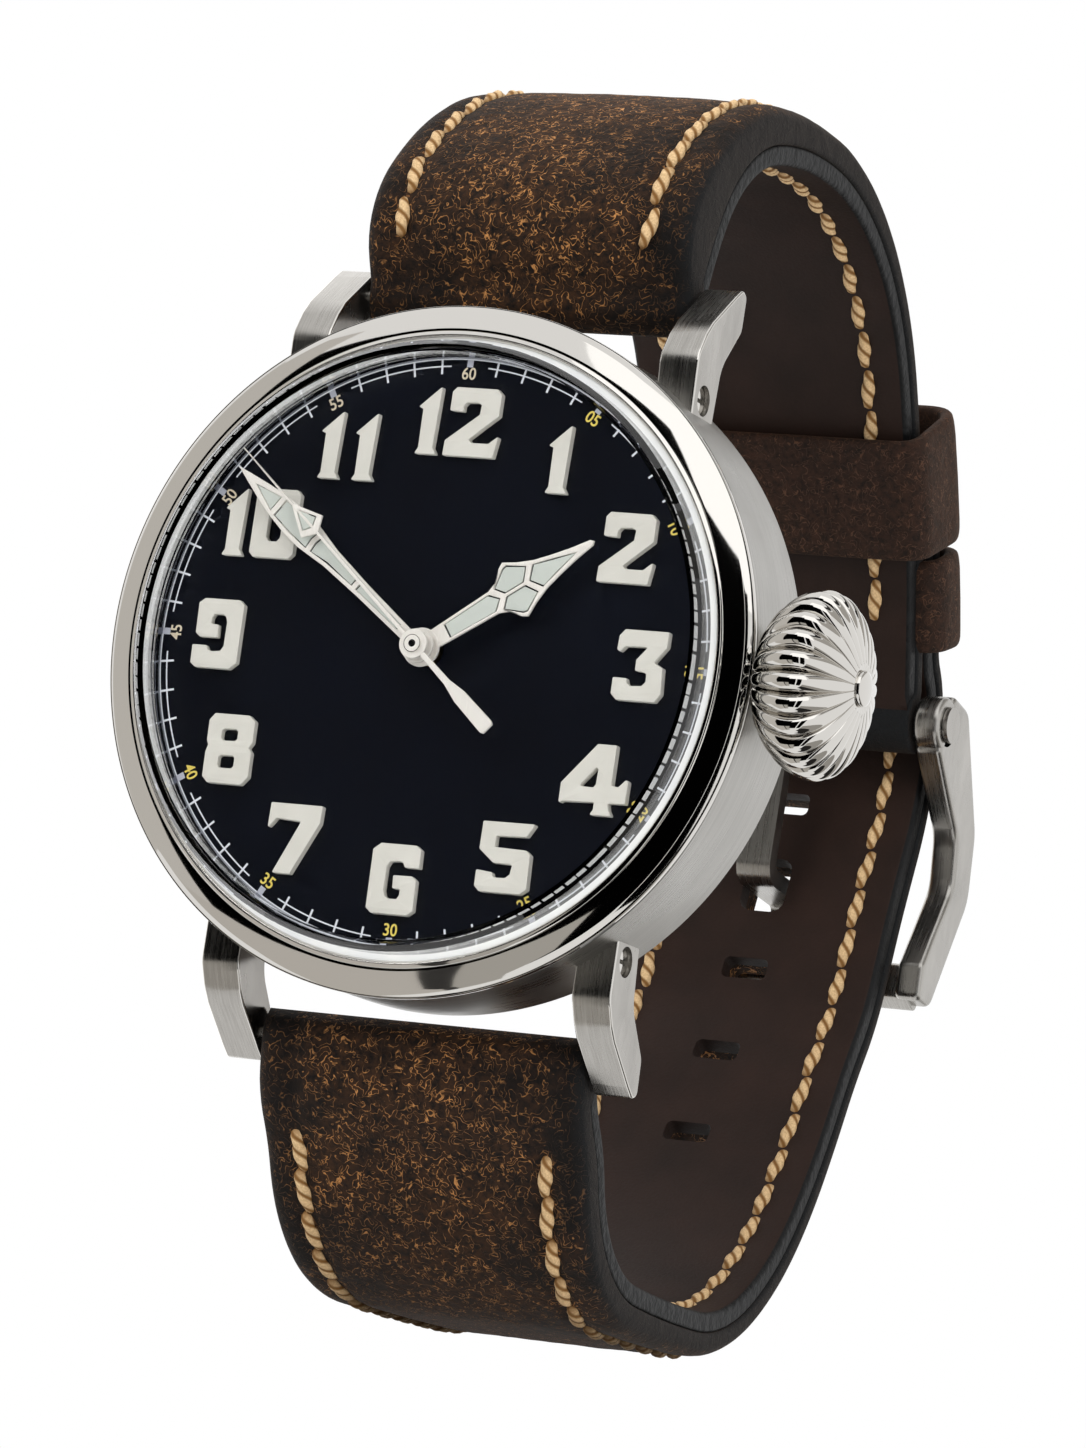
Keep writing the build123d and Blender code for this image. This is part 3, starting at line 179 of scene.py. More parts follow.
@dataclass
class Web:
    """Nodes of one tree, with a short call for each kind that the finishes use.

    Sizes are in millimetres. A call that adds a node returns the socket that it ends in.
    """

    tree: bpy.types.NodeTree

    @cached_property
    def coordinates(self) -> bpy.types.Node:
        """Texture coordinates, added when they are first used."""
        return add_node(self.tree, "ShaderNodeTexCoord")

    @property
    def shader(self) -> bpy.types.Node:
        """The tree's principled shader."""
        return self.tree.nodes["Principled BSDF"]

    def settle(self, values: dict) -> None:
        """Set constants on the shader, by the names of its inputs."""
        for name, value in values.items():
            self.shader.inputs[name].default_value = value

    def feed(self, name: str, source: Socket) -> None:
        """Link a socket to one of the shader's inputs."""
        self.tree.links.new(source, self.shader.inputs[name])

    def surface(self, source: Socket) -> None:
        """Link a socket to the material's surface."""
        self.tree.links.new(source, self.tree.nodes["Material Output"].inputs["Surface"])

    def uv(self, axis: str) -> Socket:
        """One axis of the piece's own UV map."""
        place = self.coordinates.outputs["UV"]
        return add_node(self.tree, "ShaderNodeSeparateXYZ", None, {0: place}).outputs[axis]

    def noise(self, size: float, detail: float, place: Socket | None = None, **more: float) -> Socket:
        """Level of noise with cells of a size, at a place or else at the object's own coordinates."""
        here = self.coordinates.outputs["Object"] if place is None else place
        return add_node(self.tree, "ShaderNodeTexNoise", {"Scale": per(size), "Detail": detail, **more},
                        {"Vector": here}).outputs["Fac"]

    def ramp(self, value: Socket, start: float = 0.0, stop: float = 1.0, low: float = 0.0,
             high: float = 1.0, kind: str = "LINEAR") -> Socket:
        """Map start to low and stop to high, and hold the value at both ends."""
        return add_node(self.tree, "ShaderNodeMapRange",
                        {"From Min": start, "From Max": stop, "To Min": low, "To Max": high,
                         "interpolation_type": kind}, {"Value": value}).outputs["Result"]

    def maths(self, operation: str, *terms: Socket | float) -> Socket:
        """Do a sum with sockets and numbers.

        Args:
            operation: Blender's name for it.
            terms: What it works on, in order.

        Returns:
            The result.
        """
        numbers = {i: term for i, term in enumerate(terms) if isinstance(term, float)}
        sockets = {i: term for i, term in enumerate(terms) if i not in numbers}
        return add_node(self.tree, "ShaderNodeMath", {"operation": operation, **numbers},
                        sockets).outputs["Value"]

    def blend(self, factor: Socket, low: Socket | str, high: Socket | str) -> Socket:
        """Mix two colours.

        Args:
            factor: How far the result lies from low to high.
            low: First colour, a socket or a hex code.
            high: Second colour, a socket or a hex code.

        Returns:
            The mixed colour.
        """
        ends = {"A": low, "B": high}
        codes = {name: linear(end) for name, end in ends.items() if isinstance(end, str)}
        sockets = {name: end for name, end in ends.items() if name not in codes}
        return add_node(self.tree, "ShaderNodeMix", {"data_type": "RGBA", **codes},
                        {"Factor": factor, **sockets}).outputs["Result"]

    def bump(self, height: Socket, strength: float, distance: float, under: Socket | None = None) -> Socket:
        """Normal of a relief that rises by a distance, on top of another relief if one is given."""
        links = {"Height": height} if under is None else {"Height": height, "Normal": under}
        return add_node(self.tree, "ShaderNodeBump", {"Strength": strength, "Distance": distance * MM},
                        links).outputs["Normal"]

    def clear(self, share: Socket) -> None:
        """Let a share of the light straight through in place of the shader."""
        through = add_node(self.tree, "ShaderNodeBsdfTransparent").outputs["BSDF"]
        mixed = add_node(self.tree, "ShaderNodeMixShader", None,
                         {0: share, 1: self.shader.outputs["BSDF"], 2: through})
        self.surface(mixed.outputs["Shader"])


def new_material(name: str) -> tuple[bpy.types.Material, Web]:
    """A new material, and its nodes."""
    material = bpy.data.materials.new(name)
    material.use_nodes = True
    return material, Web(material.node_tree)


@dataclass(frozen=True)
class Finish:
    """A surface finish: its colour and gloss, and the pattern that a subclass draws."""

    kind: Coat
    colour: str
    roughness: float
    metallic: float = 0.0
    specular: float = 0.5

    def make(self) -> bpy.types.Material:
        """Build the material.

        Returns:
            The material, with its pattern.
        """
        material, web = new_material(self.kind.value)
        web.settle({"Base Color": linear(self.colour), "Roughness": self.roughness,
                    "Metallic": self.metallic})
        if not self.metallic:
            web.settle({"Specular IOR Level": self.specular})
        self.draw(web)
        return material

    def draw(self, web: Web) -> None:
        """Draw nothing more; a subclass adds its pattern here."""


@dataclass(frozen=True)
class Polished(Finish):
    """Metal or lacquer buffed bright, which keeps faint hairlines and a slow ripple."""

    haze: float = 3.0
    gloss_shares: Point = (0.7, 1.4)
    hairline: float = 0.35

    def draw(self, web: Web) -> None:
        """Vary the gloss a little and lay faint hairlines in it."""
        low, high = (self.roughness * share for share in self.gloss_shares)
        web.feed("Roughness", web.ramp(web.noise(self.haze, 3.0), low=low, high=high))
        web.feed("Normal", web.bump(web.noise(self.hairline, 4.0), 0.02, 0.01))


@dataclass(frozen=True)
class Brushed(Finish):
    """Metal drawn over abrasive, whose lines run the way in which the grain is longest."""

    grain: Place = (0.12, 0.12, 6.0)
    depth: float = 0.35
    spread: float = 0.12
    cloud: float = 5.0
    darker: str = "#8F8E8B"

    def draw(self, web: Web) -> None:
        """Draw the lines of the abrasive in colour, gloss and relief."""
        stretched = add_node(web.tree, "ShaderNodeMapping", {"Scale": [per(size) for size in self.grain]},
                             {"Vector": web.coordinates.outputs["Object"]}).outputs["Vector"]
        lines = web.noise(METRE, 4.0, stretched, Roughness=0.65)
        web.feed("Base Color", web.blend(web.ramp(lines, 0.3, 0.7), self.darker, self.colour))
        both = web.maths("ADD", lines, web.noise(self.cloud, 2.0))
        web.feed("Roughness", web.ramp(both, 0.6, 1.4, self.roughness - self.spread,
                                       self.roughness + self.spread))
        web.feed("Normal", web.bump(lines, self.depth, 0.02))


@dataclass(frozen=True)
class Grained(Finish):
    """Cast, moulded or printed matter with a fine even grain and a slight drift of tone."""

    grain: float = 0.15
    depth: float = 0.2
    drift: float = 2.5
    uneven: float = 0.15
    darker: str = "#000000"

    def draw(self, web: Web) -> None:
        """Let the tone drift between two colours and raise the grain."""
        web.feed("Base Color", web.blend(web.noise(self.drift, 3.0), self.darker, self.colour))
        fine = web.noise(self.grain, 3.0)
        web.feed("Roughness", web.ramp(fine, low=self.roughness * (1 - self.uneven),
                                       high=min(1.0, self.roughness * (1 + self.uneven))))
        web.feed("Normal", web.bump(fine, self.depth, self.grain / 2))


@dataclass(frozen=True)
class Sapphire(Finish):
    """Clear crystal with a coating that takes most of its reflection away, and no colour."""

    index: float = 1.6

    def draw(self, web: Web) -> None:
        """Make it clear, and let lamp light through to what lies under it."""
        web.settle({"Transmission Weight": 1.0, "IOR": self.index})
        path = add_node(web.tree, "ShaderNodeLightPath").outputs
        web.clear(web.maths("MAXIMUM", path["Is Shadow Ray"], path["Is Diffuse Ray"]))


@dataclass(frozen=True)
class Twisted(Finish):
    """Waxed thread: two plies wound round each other, with painted shade where they meet and where they enter
    the leather.
    """

    # Colour of the painted shade in the grooves and at the stitch ends
    darker: str = "#7A5428"
    plies: float = 2.0
    turns: float = 1.6
    fibre: float = 0.14

    def draw(self, web: Web) -> None:
        """Paint shade into the grooves between the plies and onto the ends of each stitch."""
        wound = web.maths("MULTIPLY", web.uv("X"), self.plies * FULL_TURN)
        phase = web.maths("MULTIPLY_ADD", web.uv("Y"), -self.turns * FULL_TURN, wound)
        # Painted shade in the grooves between the plies
        groove = web.ramp(web.maths("COSINE", phase), -0.95, -0.1)
        # Painted shade at both ends of the stitch, where it goes into the leather
        painted_end_shade = web.ramp(web.maths("ABSOLUTE", web.uv("Y")), 0.55, 1.0, 1.0, 0.0)
        strand = web.ramp(web.noise(self.fibre, 3.0), 0.3, 0.65, 0.6)
        # Painted shade of grooves and ends, times the random tone of the strands
        level = web.maths("MULTIPLY", web.maths("MULTIPLY", groove, painted_end_shade), strand)
        web.feed("Base Color", web.blend(level, self.darker, self.colour))
        web.feed("Normal", web.bump(level, 0.7, 0.08))


@dataclass(frozen=True)
class Nubuck(Finish):
    """Oiled leather whose nap is worn through: dark nap, rubbed brown patches and bronze fibres."""

    rubbed: str = "#3C2513"
    fibre: str = "#C0854A"
    painted: str = "#121416"
    sheen: str = "#8A6A4C"
    fibre_size: float = 0.62
    fibre_width: float = 0.034
    fibre_amount: float = 1.0
    fibre_gloss: float = 0.25
    break_size: float = 0.7
    patch_size: float = 5.0
    nap_size: float = 0.5
    crease_size: float = 2.2
    crease: float = 0.5
    edge_start: float = 1.04
    edge_end: float = 1.16

    def draw(self, web: Web) -> None:
        """Draw the nap, the rubbed patches, the curled fibres and the painted edge."""
        from_middle = web.maths("ABSOLUTE", web.uv("X"))
        curls = web.noise(self.fibre_size, 0.8, Distortion=1.1)
        line = web.maths("ABSOLUTE", web.maths("SUBTRACT", curls, 0.5))
        fibre = web.ramp(line, 0.0, self.fibre_width, 1.0, 0.0, "SMOOTHSTEP")
        broken = web.ramp(web.noise(self.break_size, 2.5), 0.38, 0.56)
        patches = web.noise(self.patch_size, 4.0, Roughness=0.65)
        # The brown patches thin out from the middle of the strap towards its edges
        middle = web.ramp(from_middle, 0.1, 1.0, 0.36, 0.62)
        kept = web.ramp(web.maths("SUBTRACT", patches, middle), -0.2, 0.12, 1.0, 0.0)
        worn = web.maths("SUBTRACT", 1.0, kept)
        nap = web.noise(self.nap_size, 4.0, Roughness=0.7)
        rubbed = web.maths("MULTIPLY", worn, web.ramp(nap, 0.35, 0.65))
        ground = web.blend(rubbed, self.colour, self.rubbed)
        lit = web.ramp(worn, 0.0, 1.0, 0.12, self.fibre_amount)
        shown = web.maths("MULTIPLY", web.maths("MULTIPLY", fibre, broken), lit)
        flecked = web.blend(shown, ground, self.fibre)
        edge = web.ramp(from_middle, self.edge_start, self.edge_end)
        web.feed("Base Color", web.blend(edge, flecked, self.painted))
        fine = web.bump(web.maths("ADD", fibre, nap), 0.55, 0.09)
        creases = web.noise(self.crease_size, 5.0, Roughness=0.6, Distortion=0.6)
        web.feed("Normal", web.bump(creases, self.crease, 0.5, fine))
        web.feed("Roughness", web.ramp(shown, low=self.roughness, high=self.roughness - self.fibre_gloss))
        web.settle({"Sheen Weight": 0.12, "Sheen Roughness": 0.5, "Sheen Tint": linear(self.sheen)})


INK_GRAIN = {"grain": 0.05, "depth": 0.05, "drift": 1.0}
FINISHES: tuple[Finish, ...] = (
    # 316L steel buffed to a mirror: shows the room, with hardly any haze
    Polished(Coat.POLISHED, "#D6D3CE", 0.045, 1.0),
    # The same steel turned on fine abrasive: soft light bands round the case
    Brushed(Coat.BRUSHED, "#BDBBB7", 0.32, 1.0, grain=(14.0, 0.10, 14.0), darker="#9F9D99"),
    # Drawn straight on a belt: lines along the lugs and the buckle
    Brushed(Coat.SATIN, "#BAB7B2", 0.28, 1.0, grain=(0.10, 2.5, 5.0), darker="#A09D98"),
    # Frosted rhodium plating of the hands: pale and almost even
    Brushed(Coat.HAND, "#E9E5DE", 0.5, 0.2, grain=(0.08, 1.0, 2.0), depth=0.1, darker="#DCD8D1"),
    # Phosphor in clear binder, poured in: off-white, matt, faintly speckled
    Grained(Coat.LUME, "#D4D2CA", 0.55, grain=0.08, depth=0.12, darker="#C3C1B8"),
    # The hands' filling, cast thinner: cooler and a shade darker
    Grained(Coat.CELL, "#C6CBC4", 0.5, grain=0.08, depth=0.12, darker="#B5BBB4"),
    # Sprayed black lacquer over brass with a blue cast, rubbed to a soft gloss; its broad drift to a lighter
    # blue is a painted sheen
    Grained(Coat.LACQUER, "#0A0E18", 0.3, specular=0.2, grain=0.12, depth=0.03, drift=9.0,
            darker="#05060B"),
    # Dark-plated brass ring, buffed: mirrors the dial's edge
    Polished(Coat.REHAUT, "#7C7E85", 0.06, 1.0),
    # Thick opaque inks, pad-printed
    Grained(Coat.PRINT, "#E4E7EC", 0.6, **INK_GRAIN, darker="#CDD1D8"),
    Grained(Coat.MARK, "#B9BCC8", 0.6, **INK_GRAIN, darker="#A9ACB8"),
    Grained(Coat.YELLOW, "#E9D56A", 0.6, **INK_GRAIN, darker="#D5BD52"),
    Grained(Coat.CREAM, "#D9CDB4", 0.6, **INK_GRAIN, darker="#C4B79E"),
    # Synthetic sapphire, polished and coated on both faces
    Sapphire(Coat.CRYSTAL, "#FFFFFF", 0.0, specular=0.05),
    # Moulded nitrile rubber: matt black
    Grained(Coat.RUBBER, "#151515", 0.7, grain=0.1, depth=0.1, darker="#0D0D0D"),
    # Turned nylon: milky, half matt
    Grained(Coat.GASKET, "#E9E9E4", 0.35, grain=0.1, depth=0.05, darker="#CFD1D4"),
    # Gilded brass with a straight grain
    Brushed(Coat.BRASS, "#C9A45A", 0.32, 1.0, grain=(0.08, 4.0, 0.08), darker="#A98644"),
    # Strap leather, rubbed through to bronze fibres
    Nubuck(Coat.NUBUCK, "#0D0A09", 0.86, specular=0.3),
    # Wrist side: smooth dyed calf, dark brown, half matt
    Grained(Coat.LINING, "#2F1F19", 0.6, specular=0.22, grain=0.22, depth=0.25, drift=4.0,
            darker="#1B120E"),
    # Cut edge sealed with several coats of black-blue edge paint
    Grained(Coat.EDGE, "#101011", 0.55, specular=0.22, grain=0.6, depth=0.6, drift=1.5, darker="#08090A"),
    # Keepers: the same hide, browner and with fewer fibres
    Nubuck(Coat.KEEPER, "#1A110C", 0.88, specular=0.3, rubbed="#352117", fibre="#6E4A33",
           fibre_amount=0.45, edge_start=2.0, edge_end=2.1),
    # Waxed linen, two plies twisted together, with painted shade in the grooves and at the stitch ends
    Twisted(Coat.THREAD, "#DFBE90", 0.7, specular=0.25),
)


def corner_rounded(points: Sequence[Point], radii: float | Sequence[float], steps: int = 4) -> list[Point]:
    """Round the corners of a closed outline.

    Args:
        points: Corners in order.
        radii: One radius for all corners, or one for each.
        steps: Straight runs in each rounded corner.

    Returns:
        The outline with its corners rounded.
    """
    each = [radii] * len(points) if isinstance(radii, (int, float)) else list(radii)
    result: list[Point] = []
    for index, corner in enumerate(points):
        here = Vector(corner)
        back = Vector(points[index - 1]) - here
        ahead = Vector(points[(index + 1) % len(points)]) - here
        half = back.angle(ahead) / 2
        cut = min(each[index] / math.tan(half), 0.48 * min(back.length, ahead.length))
        if cut < 0.001:
            result.append(tuple(here))
            continue
        start = here + back.normalized() * cut
        end = here + ahead.normalized() * cut
        for step in range(steps + 1):
            share = step / steps
            place = start * (1 - share) ** 2 + here * 2 * share * (1 - share) + end * share ** 2
            result.append(tuple(place))
    return result


def curve_through(points: Sequence[Point], steps: int) -> list[Point]:
    """Draw a smooth line through points.

    Args:
        points: Points that the line passes through.
        steps: Runs from one point to the next.

    Returns:
        Points along the line.
    """
    places = [Vector(p) for p in points]
    result: list[Point] = []
    for index in range(len(places) - 1):
        before = places[max(index - 1, 0)]
        start, end = places[index], places[index + 1]
        after = places[min(index + 2, len(places) - 1)]
        for step in range(steps):
            t = step / steps
            place = 0.5 * ((2 * start) + (end - before) * t
                           + (2 * before - 5 * start + 4 * end - after) * t ** 2
                           + (3 * start - before - 3 * end + after) * t ** 3)
            result.append(tuple(place))
    result.append(tuple(places[-1]))
    return result


def arc_points(start: Point, end: Point, bow: float, steps: int) -> list[Point]:
    """Points on an arc from start to end that bows out by a given amount to its left.

    Args:
        start: First point.
        end: Last point.
        bow: Height of the arc over its chord.
        steps: Runs along it.

    Returns:
        The points, both ends among them.
    """
    a, b = Vector(start), Vector(end)
    chord = b - a
    left = Vector((-chord.y, chord.x)).normalized()
    radius = (chord.length ** 2 / 4 + bow ** 2) / (2 * bow)
    centre = (a + b) / 2 + left * (bow - radius)
    sweep = (b - centre).angle_signed(a - centre) if radius else 0
    points = []
    for step in range(steps + 1):
        turn = Matrix.Rotation(sweep * step / steps, 2)
        points.append(tuple(centre + turn @ (a - centre)))
    return points


def mesh_from(name: str, bm: Mesh) -> bpy.types.Mesh:
    """Named mesh data from a mesh, which is freed."""
    mesh = bpy.data.meshes.new(name)
    bm.to_mesh(mesh)
    bm.free()
    return mesh


def linked(name: str, data: bpy.types.ID) -> bpy.types.Object:
    """New object in the scene that shows some data."""
    made = bpy.data.objects.new(name, data)
    bpy.context.scene.collection.objects.link(made)
    return made


def outward(bm: Mesh) -> Mesh:
    """The same mesh, its faces turned outwards."""
    bmesh.ops.recalc_face_normals(bm, faces=bm.faces)
    return bm


def merged(bm: Mesh, gap: float = SEAM) -> Mesh:
    """The same mesh, its points up to a gap apart made one."""
    bmesh.ops.remove_doubles(bm, verts=bm.verts, dist=gap)
    return bm


def edges_by(bm: Mesh, axis: int, along: bool) -> list[bmesh.types.BMEdge]:
    """Edges that run along an axis (0, 1 or 2), or else those that lie level across it."""
    return [e for e in bm.edges if (abs(e.verts[0].co[axis] - e.verts[1].co[axis]) > SAME) == along]


def rounded(bm: Mesh, edges: Sequence[bmesh.types.BMEdge], width: float, segments: int = 2,
            clamp: bool = False) -> Mesh:
    """The same mesh, some edges rounded over a width; clamped, roundings stop where they meet."""
    bmesh.ops.bevel(bm, geom=edges, offset=width, offset_type="OFFSET", affect="EDGES", segments=segments,
                    profile=0.5, clamp_overlap=clamp, material=-1)
    return bm


def block(across: float, deep: float, tall: float) -> Mesh:
    """Box about the origin, with its sides along X, Y and Z."""
    bm = bmesh.new()
    bmesh.ops.create_cube(bm, size=1)
    bmesh.ops.scale(bm, vec=(across, deep, tall), verts=bm.verts)
    return bm


def disc(radius: float, depth: float, edge: float = 0.0, segments: int = 3, sides: int = 48) -> Mesh:
    """Round block about the origin, along Z, with rims rounded over the width of an edge."""
    bm = bmesh.new()
    bmesh.ops.create_cone(bm, cap_ends=True, segments=sides, radius1=radius, radius2=radius, depth=depth)
    return rounded(bm, edges_by(bm, 2, False), edge, segments) if edge else bm


def grid(columns: int, rows: int) -> tuple[Mesh, dict[Vert, tuple[int, int]]]:
    """Flat grid, and the column and row of each of its vertices."""
    bm = bmesh.new()
    bmesh.ops.create_grid(bm, x_segments=columns, y_segments=rows, size=1.0)
    return bm, {v: (round((v.co.x + 1) / 2 * columns), round((v.co.y + 1) / 2 * rows)) for v in bm.verts}


def line_round(bm: Mesh, places: Iterable[Place]) -> list:
    """New vertices and edges that run through places and back to the first."""
    verts = [bm.verts.new(place) for place in places]
    return verts + [bm.edges.new((verts[i - 1], verts[i])) for i in range(len(verts))]


def spun(bm: Mesh, line: list, axis: Place, steps: int, sweep: float = 360) -> None:
    """Spin vertices and edges about an axis through the origin, by a sweep in degrees."""
    bmesh.ops.spin(bm, geom=line, cent=(0, 0, 0), axis=axis, angle=math.radians(sweep), steps=steps,
                   use_merge=sweep >= 360)


@dataclass
class Workshop:
    """Makes finished pieces from meshes drawn in millimetres, and keeps their finishes."""

    nodes: dict[str, bpy.types.Object]
    materials: dict[Coat, bpy.types.Material] = field(default_factory=dict)

    def __post_init__(self) -> None:
        """Build every finish once."""
        for finish in FINISHES:
            self.materials[finish.kind] = finish.make()

    def piece(self, name: str, bm: Mesh, finishes: Sequence[Coat], body: str, slot: str,
              replaces: Iterable[str] = (), sharp: float = 35.0, weighted: bool = True) -> bpy.types.Object:
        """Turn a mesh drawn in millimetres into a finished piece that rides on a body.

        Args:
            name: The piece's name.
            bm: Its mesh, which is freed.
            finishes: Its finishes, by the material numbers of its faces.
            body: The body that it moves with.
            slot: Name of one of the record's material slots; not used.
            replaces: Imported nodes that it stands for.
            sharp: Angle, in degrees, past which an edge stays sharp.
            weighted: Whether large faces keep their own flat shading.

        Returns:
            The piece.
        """
        bmesh.ops.scale(bm, vec=(MM, MM, MM), verts=bm.verts)
        made = linked(name, mesh_from(name, bm))
        mesh = made.data
        mesh.polygons.foreach_set("use_smooth", [True] * len(mesh.polygons))
        mesh.set_sharp_from_angle(angle=math.radians(sharp))
        for finish in finishes:
            mesh.materials.append(self.materials[finish])
        if weighted:
            made.modifiers.new("flat faces", "WEIGHTED_NORMAL").keep_sharp = True
        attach(made, body)
        if replaces:
            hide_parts(*replaces)
        LOG.info("%s: %d faces on %s", name, len(mesh.polygons), body)
        return made

    def dress(self, finish: Coat, *nodes: str) -> None:
        """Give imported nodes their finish."""
        for node in nodes:
            mesh = self.nodes[node].data
            mesh.materials.clear()
            mesh.materials.append(self.materials[finish])
            LOG.info("%s: dressed in %s", node, finish.value)


def lathe(outline: Sequence[Point], steps: int = 256, bevel: float = 0.04, corner: float = 28) -> Mesh:
    """Turn a closed outline of (radius, height) points about the axis of the hands.

    Args:
        outline: Corners of the section.
        steps: Faces round the piece.
        bevel: Width of the broken edges.
        corner: Angle, in degrees, past which an edge is broken.

    Returns:
        The turned mesh, in millimetres.
    """
    bm = bmesh.new()
    spun(bm, line_round(bm, [(radius, -height, 0) for radius, height in outline]), (0, 1, 0), steps)
    merged(bm, FINE_SEAM)
    bmesh.ops.dissolve_degenerate(bm, edges=bm.edges, dist=FINE_SEAM)
    outward(bm)
    return rounded(bm, [e for e in bm.edges if len(e.link_faces) == 2
                        and e.calc_face_angle() > math.radians(corner)], bevel)


def prism(outline: Sequence[Point], low: float, high: float, bevel: float, segments: int = 2) -> Mesh:
    """Extrude a side view, given as (depth, height above the middle), along X.

    Args:
        outline: Corners of the side view.
        low: X of its first face.
        high: X of its second face.
        bevel: Width of the broken edges round both faces.
        segments: Faces across each broken edge.

    Returns:
        The mesh, in millimetres.
    """
    bm = bmesh.new()
    face = bm.faces.new([bm.verts.new((low, depth, height)) for depth, height in outline])
    made = bmesh.ops.extrude_face_region(bm, geom=[face], use_keep_orig=True)
    top = [v for v in made["geom"] if isinstance(v, Vert)]
    bmesh.ops.translate(bm, vec=(high - low, 0, 0), verts=top)
    return rounded(bm, edges_by(outward(bm), 0, False), bevel, segments, clamp=True)


def baked(holder: bpy.types.Object) -> Mesh:
    """Mesh of an object as its modifiers shape it, or of a curve as it is filled."""
    bpy.context.view_layer.update()
    shaped = holder.evaluated_get(bpy.context.evaluated_depsgraph_get())
    mesh = bpy.data.meshes.new_from_object(shaped)
    bm = bmesh.new()
    bm.from_mesh(mesh)
    bpy.data.meshes.remove(mesh)
    return bm


def filled(curve: bpy.types.Curve, lift: float) -> Mesh:
    """Mesh of a flat curve or of text, raised by a lift; the curve is removed."""
    holder = linked("flat", curve)
    bm = baked(holder)
    bpy.data.objects.remove(holder)
    bpy.data.curves.remove(curve)
    return moved(outward(merged(bm)), Matrix.Translation((0, 0, lift)))


def flat_shape(outlines: Sequence[Sequence[Point]], thickness: float, bevel: float) -> Mesh:
    """Fill flat outlines, holes among them, and give the shape a thickness.

    Args:
        outlines: Closed outlines, x to the crown and y to twelve.
        thickness: Distance from its back, at zero, to its face.
        bevel: Width of the broken edge round it.

    Returns:
        The mesh, lying flat, in millimetres.
    """
    curve = bpy.data.curves.new("flat", "CURVE")
    curve.dimensions = "2D"
    curve.fill_mode = "BOTH"
    curve.extrude = thickness / 2 - bevel
    curve.bevel_depth = bevel
    curve.bevel_resolution = 1
    curve.offset = -bevel
    for outline in outlines:
        spline = curve.splines.new("POLY")
        spline.points.add(len(outline) - 1)
        for point, (x, y) in zip(spline.points, outline):
            point.co = (x, y, 0, 1)
        spline.use_cyclic_u = True
    return filled(curve, thickness / 2)


def lettering(text: str, height: float, thickness: float, bolder: float = 0.012) -> Mesh:
    """Figures set in a plain face, flat on the origin, their outlines moved outwards to be bolder."""
    curve = bpy.data.curves.new("figures", "FONT")
    curve.body = text
    curve.size = height
    curve.align_x = "CENTER"
    curve.align_y = "CENTER"
    curve.extrude = thickness / 2
    curve.offset = bolder
    curve.resolution_u = 4
    return filled(curve, thickness / 2)


def gathered(parts: Iterable[Mesh]) -> Mesh:
    """Bring several meshes together in one, and free them."""
    whole = bmesh.new()
    for part in parts:
        mesh = mesh_from("part", part)
        whole.from_mesh(mesh)
        bpy.data.meshes.remove(mesh)
    return whole


def moved(bm: Mesh, matrix: Matrix) -> Mesh:
    """The same mesh, put in its place by a matrix."""
    bmesh.ops.transform(bm, matrix=matrix, verts=bm.verts)
    return bm


def on_dial(height: float, reach: float = 0.0, clock: float = 0.0, turn: float = 0.0) -> Matrix:
    """Place of a flat shape in front of the dial.

    Args:
        height: Height of its back above the case back.
        reach: Distance from the middle.
        clock: Clock angle of its place, in degrees.
        turn: Clock angle by which the shape itself is turned.

    Returns:
        The matrix that puts it there.
    """
    angle = math.radians(clock)
    place = Matrix.Translation((reach * math.sin(angle), reach * math.cos(angle), height))
    return FRONT @ place @ Matrix.Rotation(-math.radians(turn), 4, "Z")


def carved(bm: Mesh, cutter: Mesh) -> Mesh:
    """Cut one mesh out of another, free both, and return what is left."""
    whole, tool = (linked("part", mesh_from("part", part)) for part in (bm, cutter))
    cut = whole.modifiers.new("cut", "BOOLEAN")
    cut.operation = "DIFFERENCE"
    cut.solver = "EXACT"
    cut.object = tool
    left = baked(whole)
    for holder in (whole, tool):
        bpy.data.meshes.remove(holder.data)
    return merged(left)


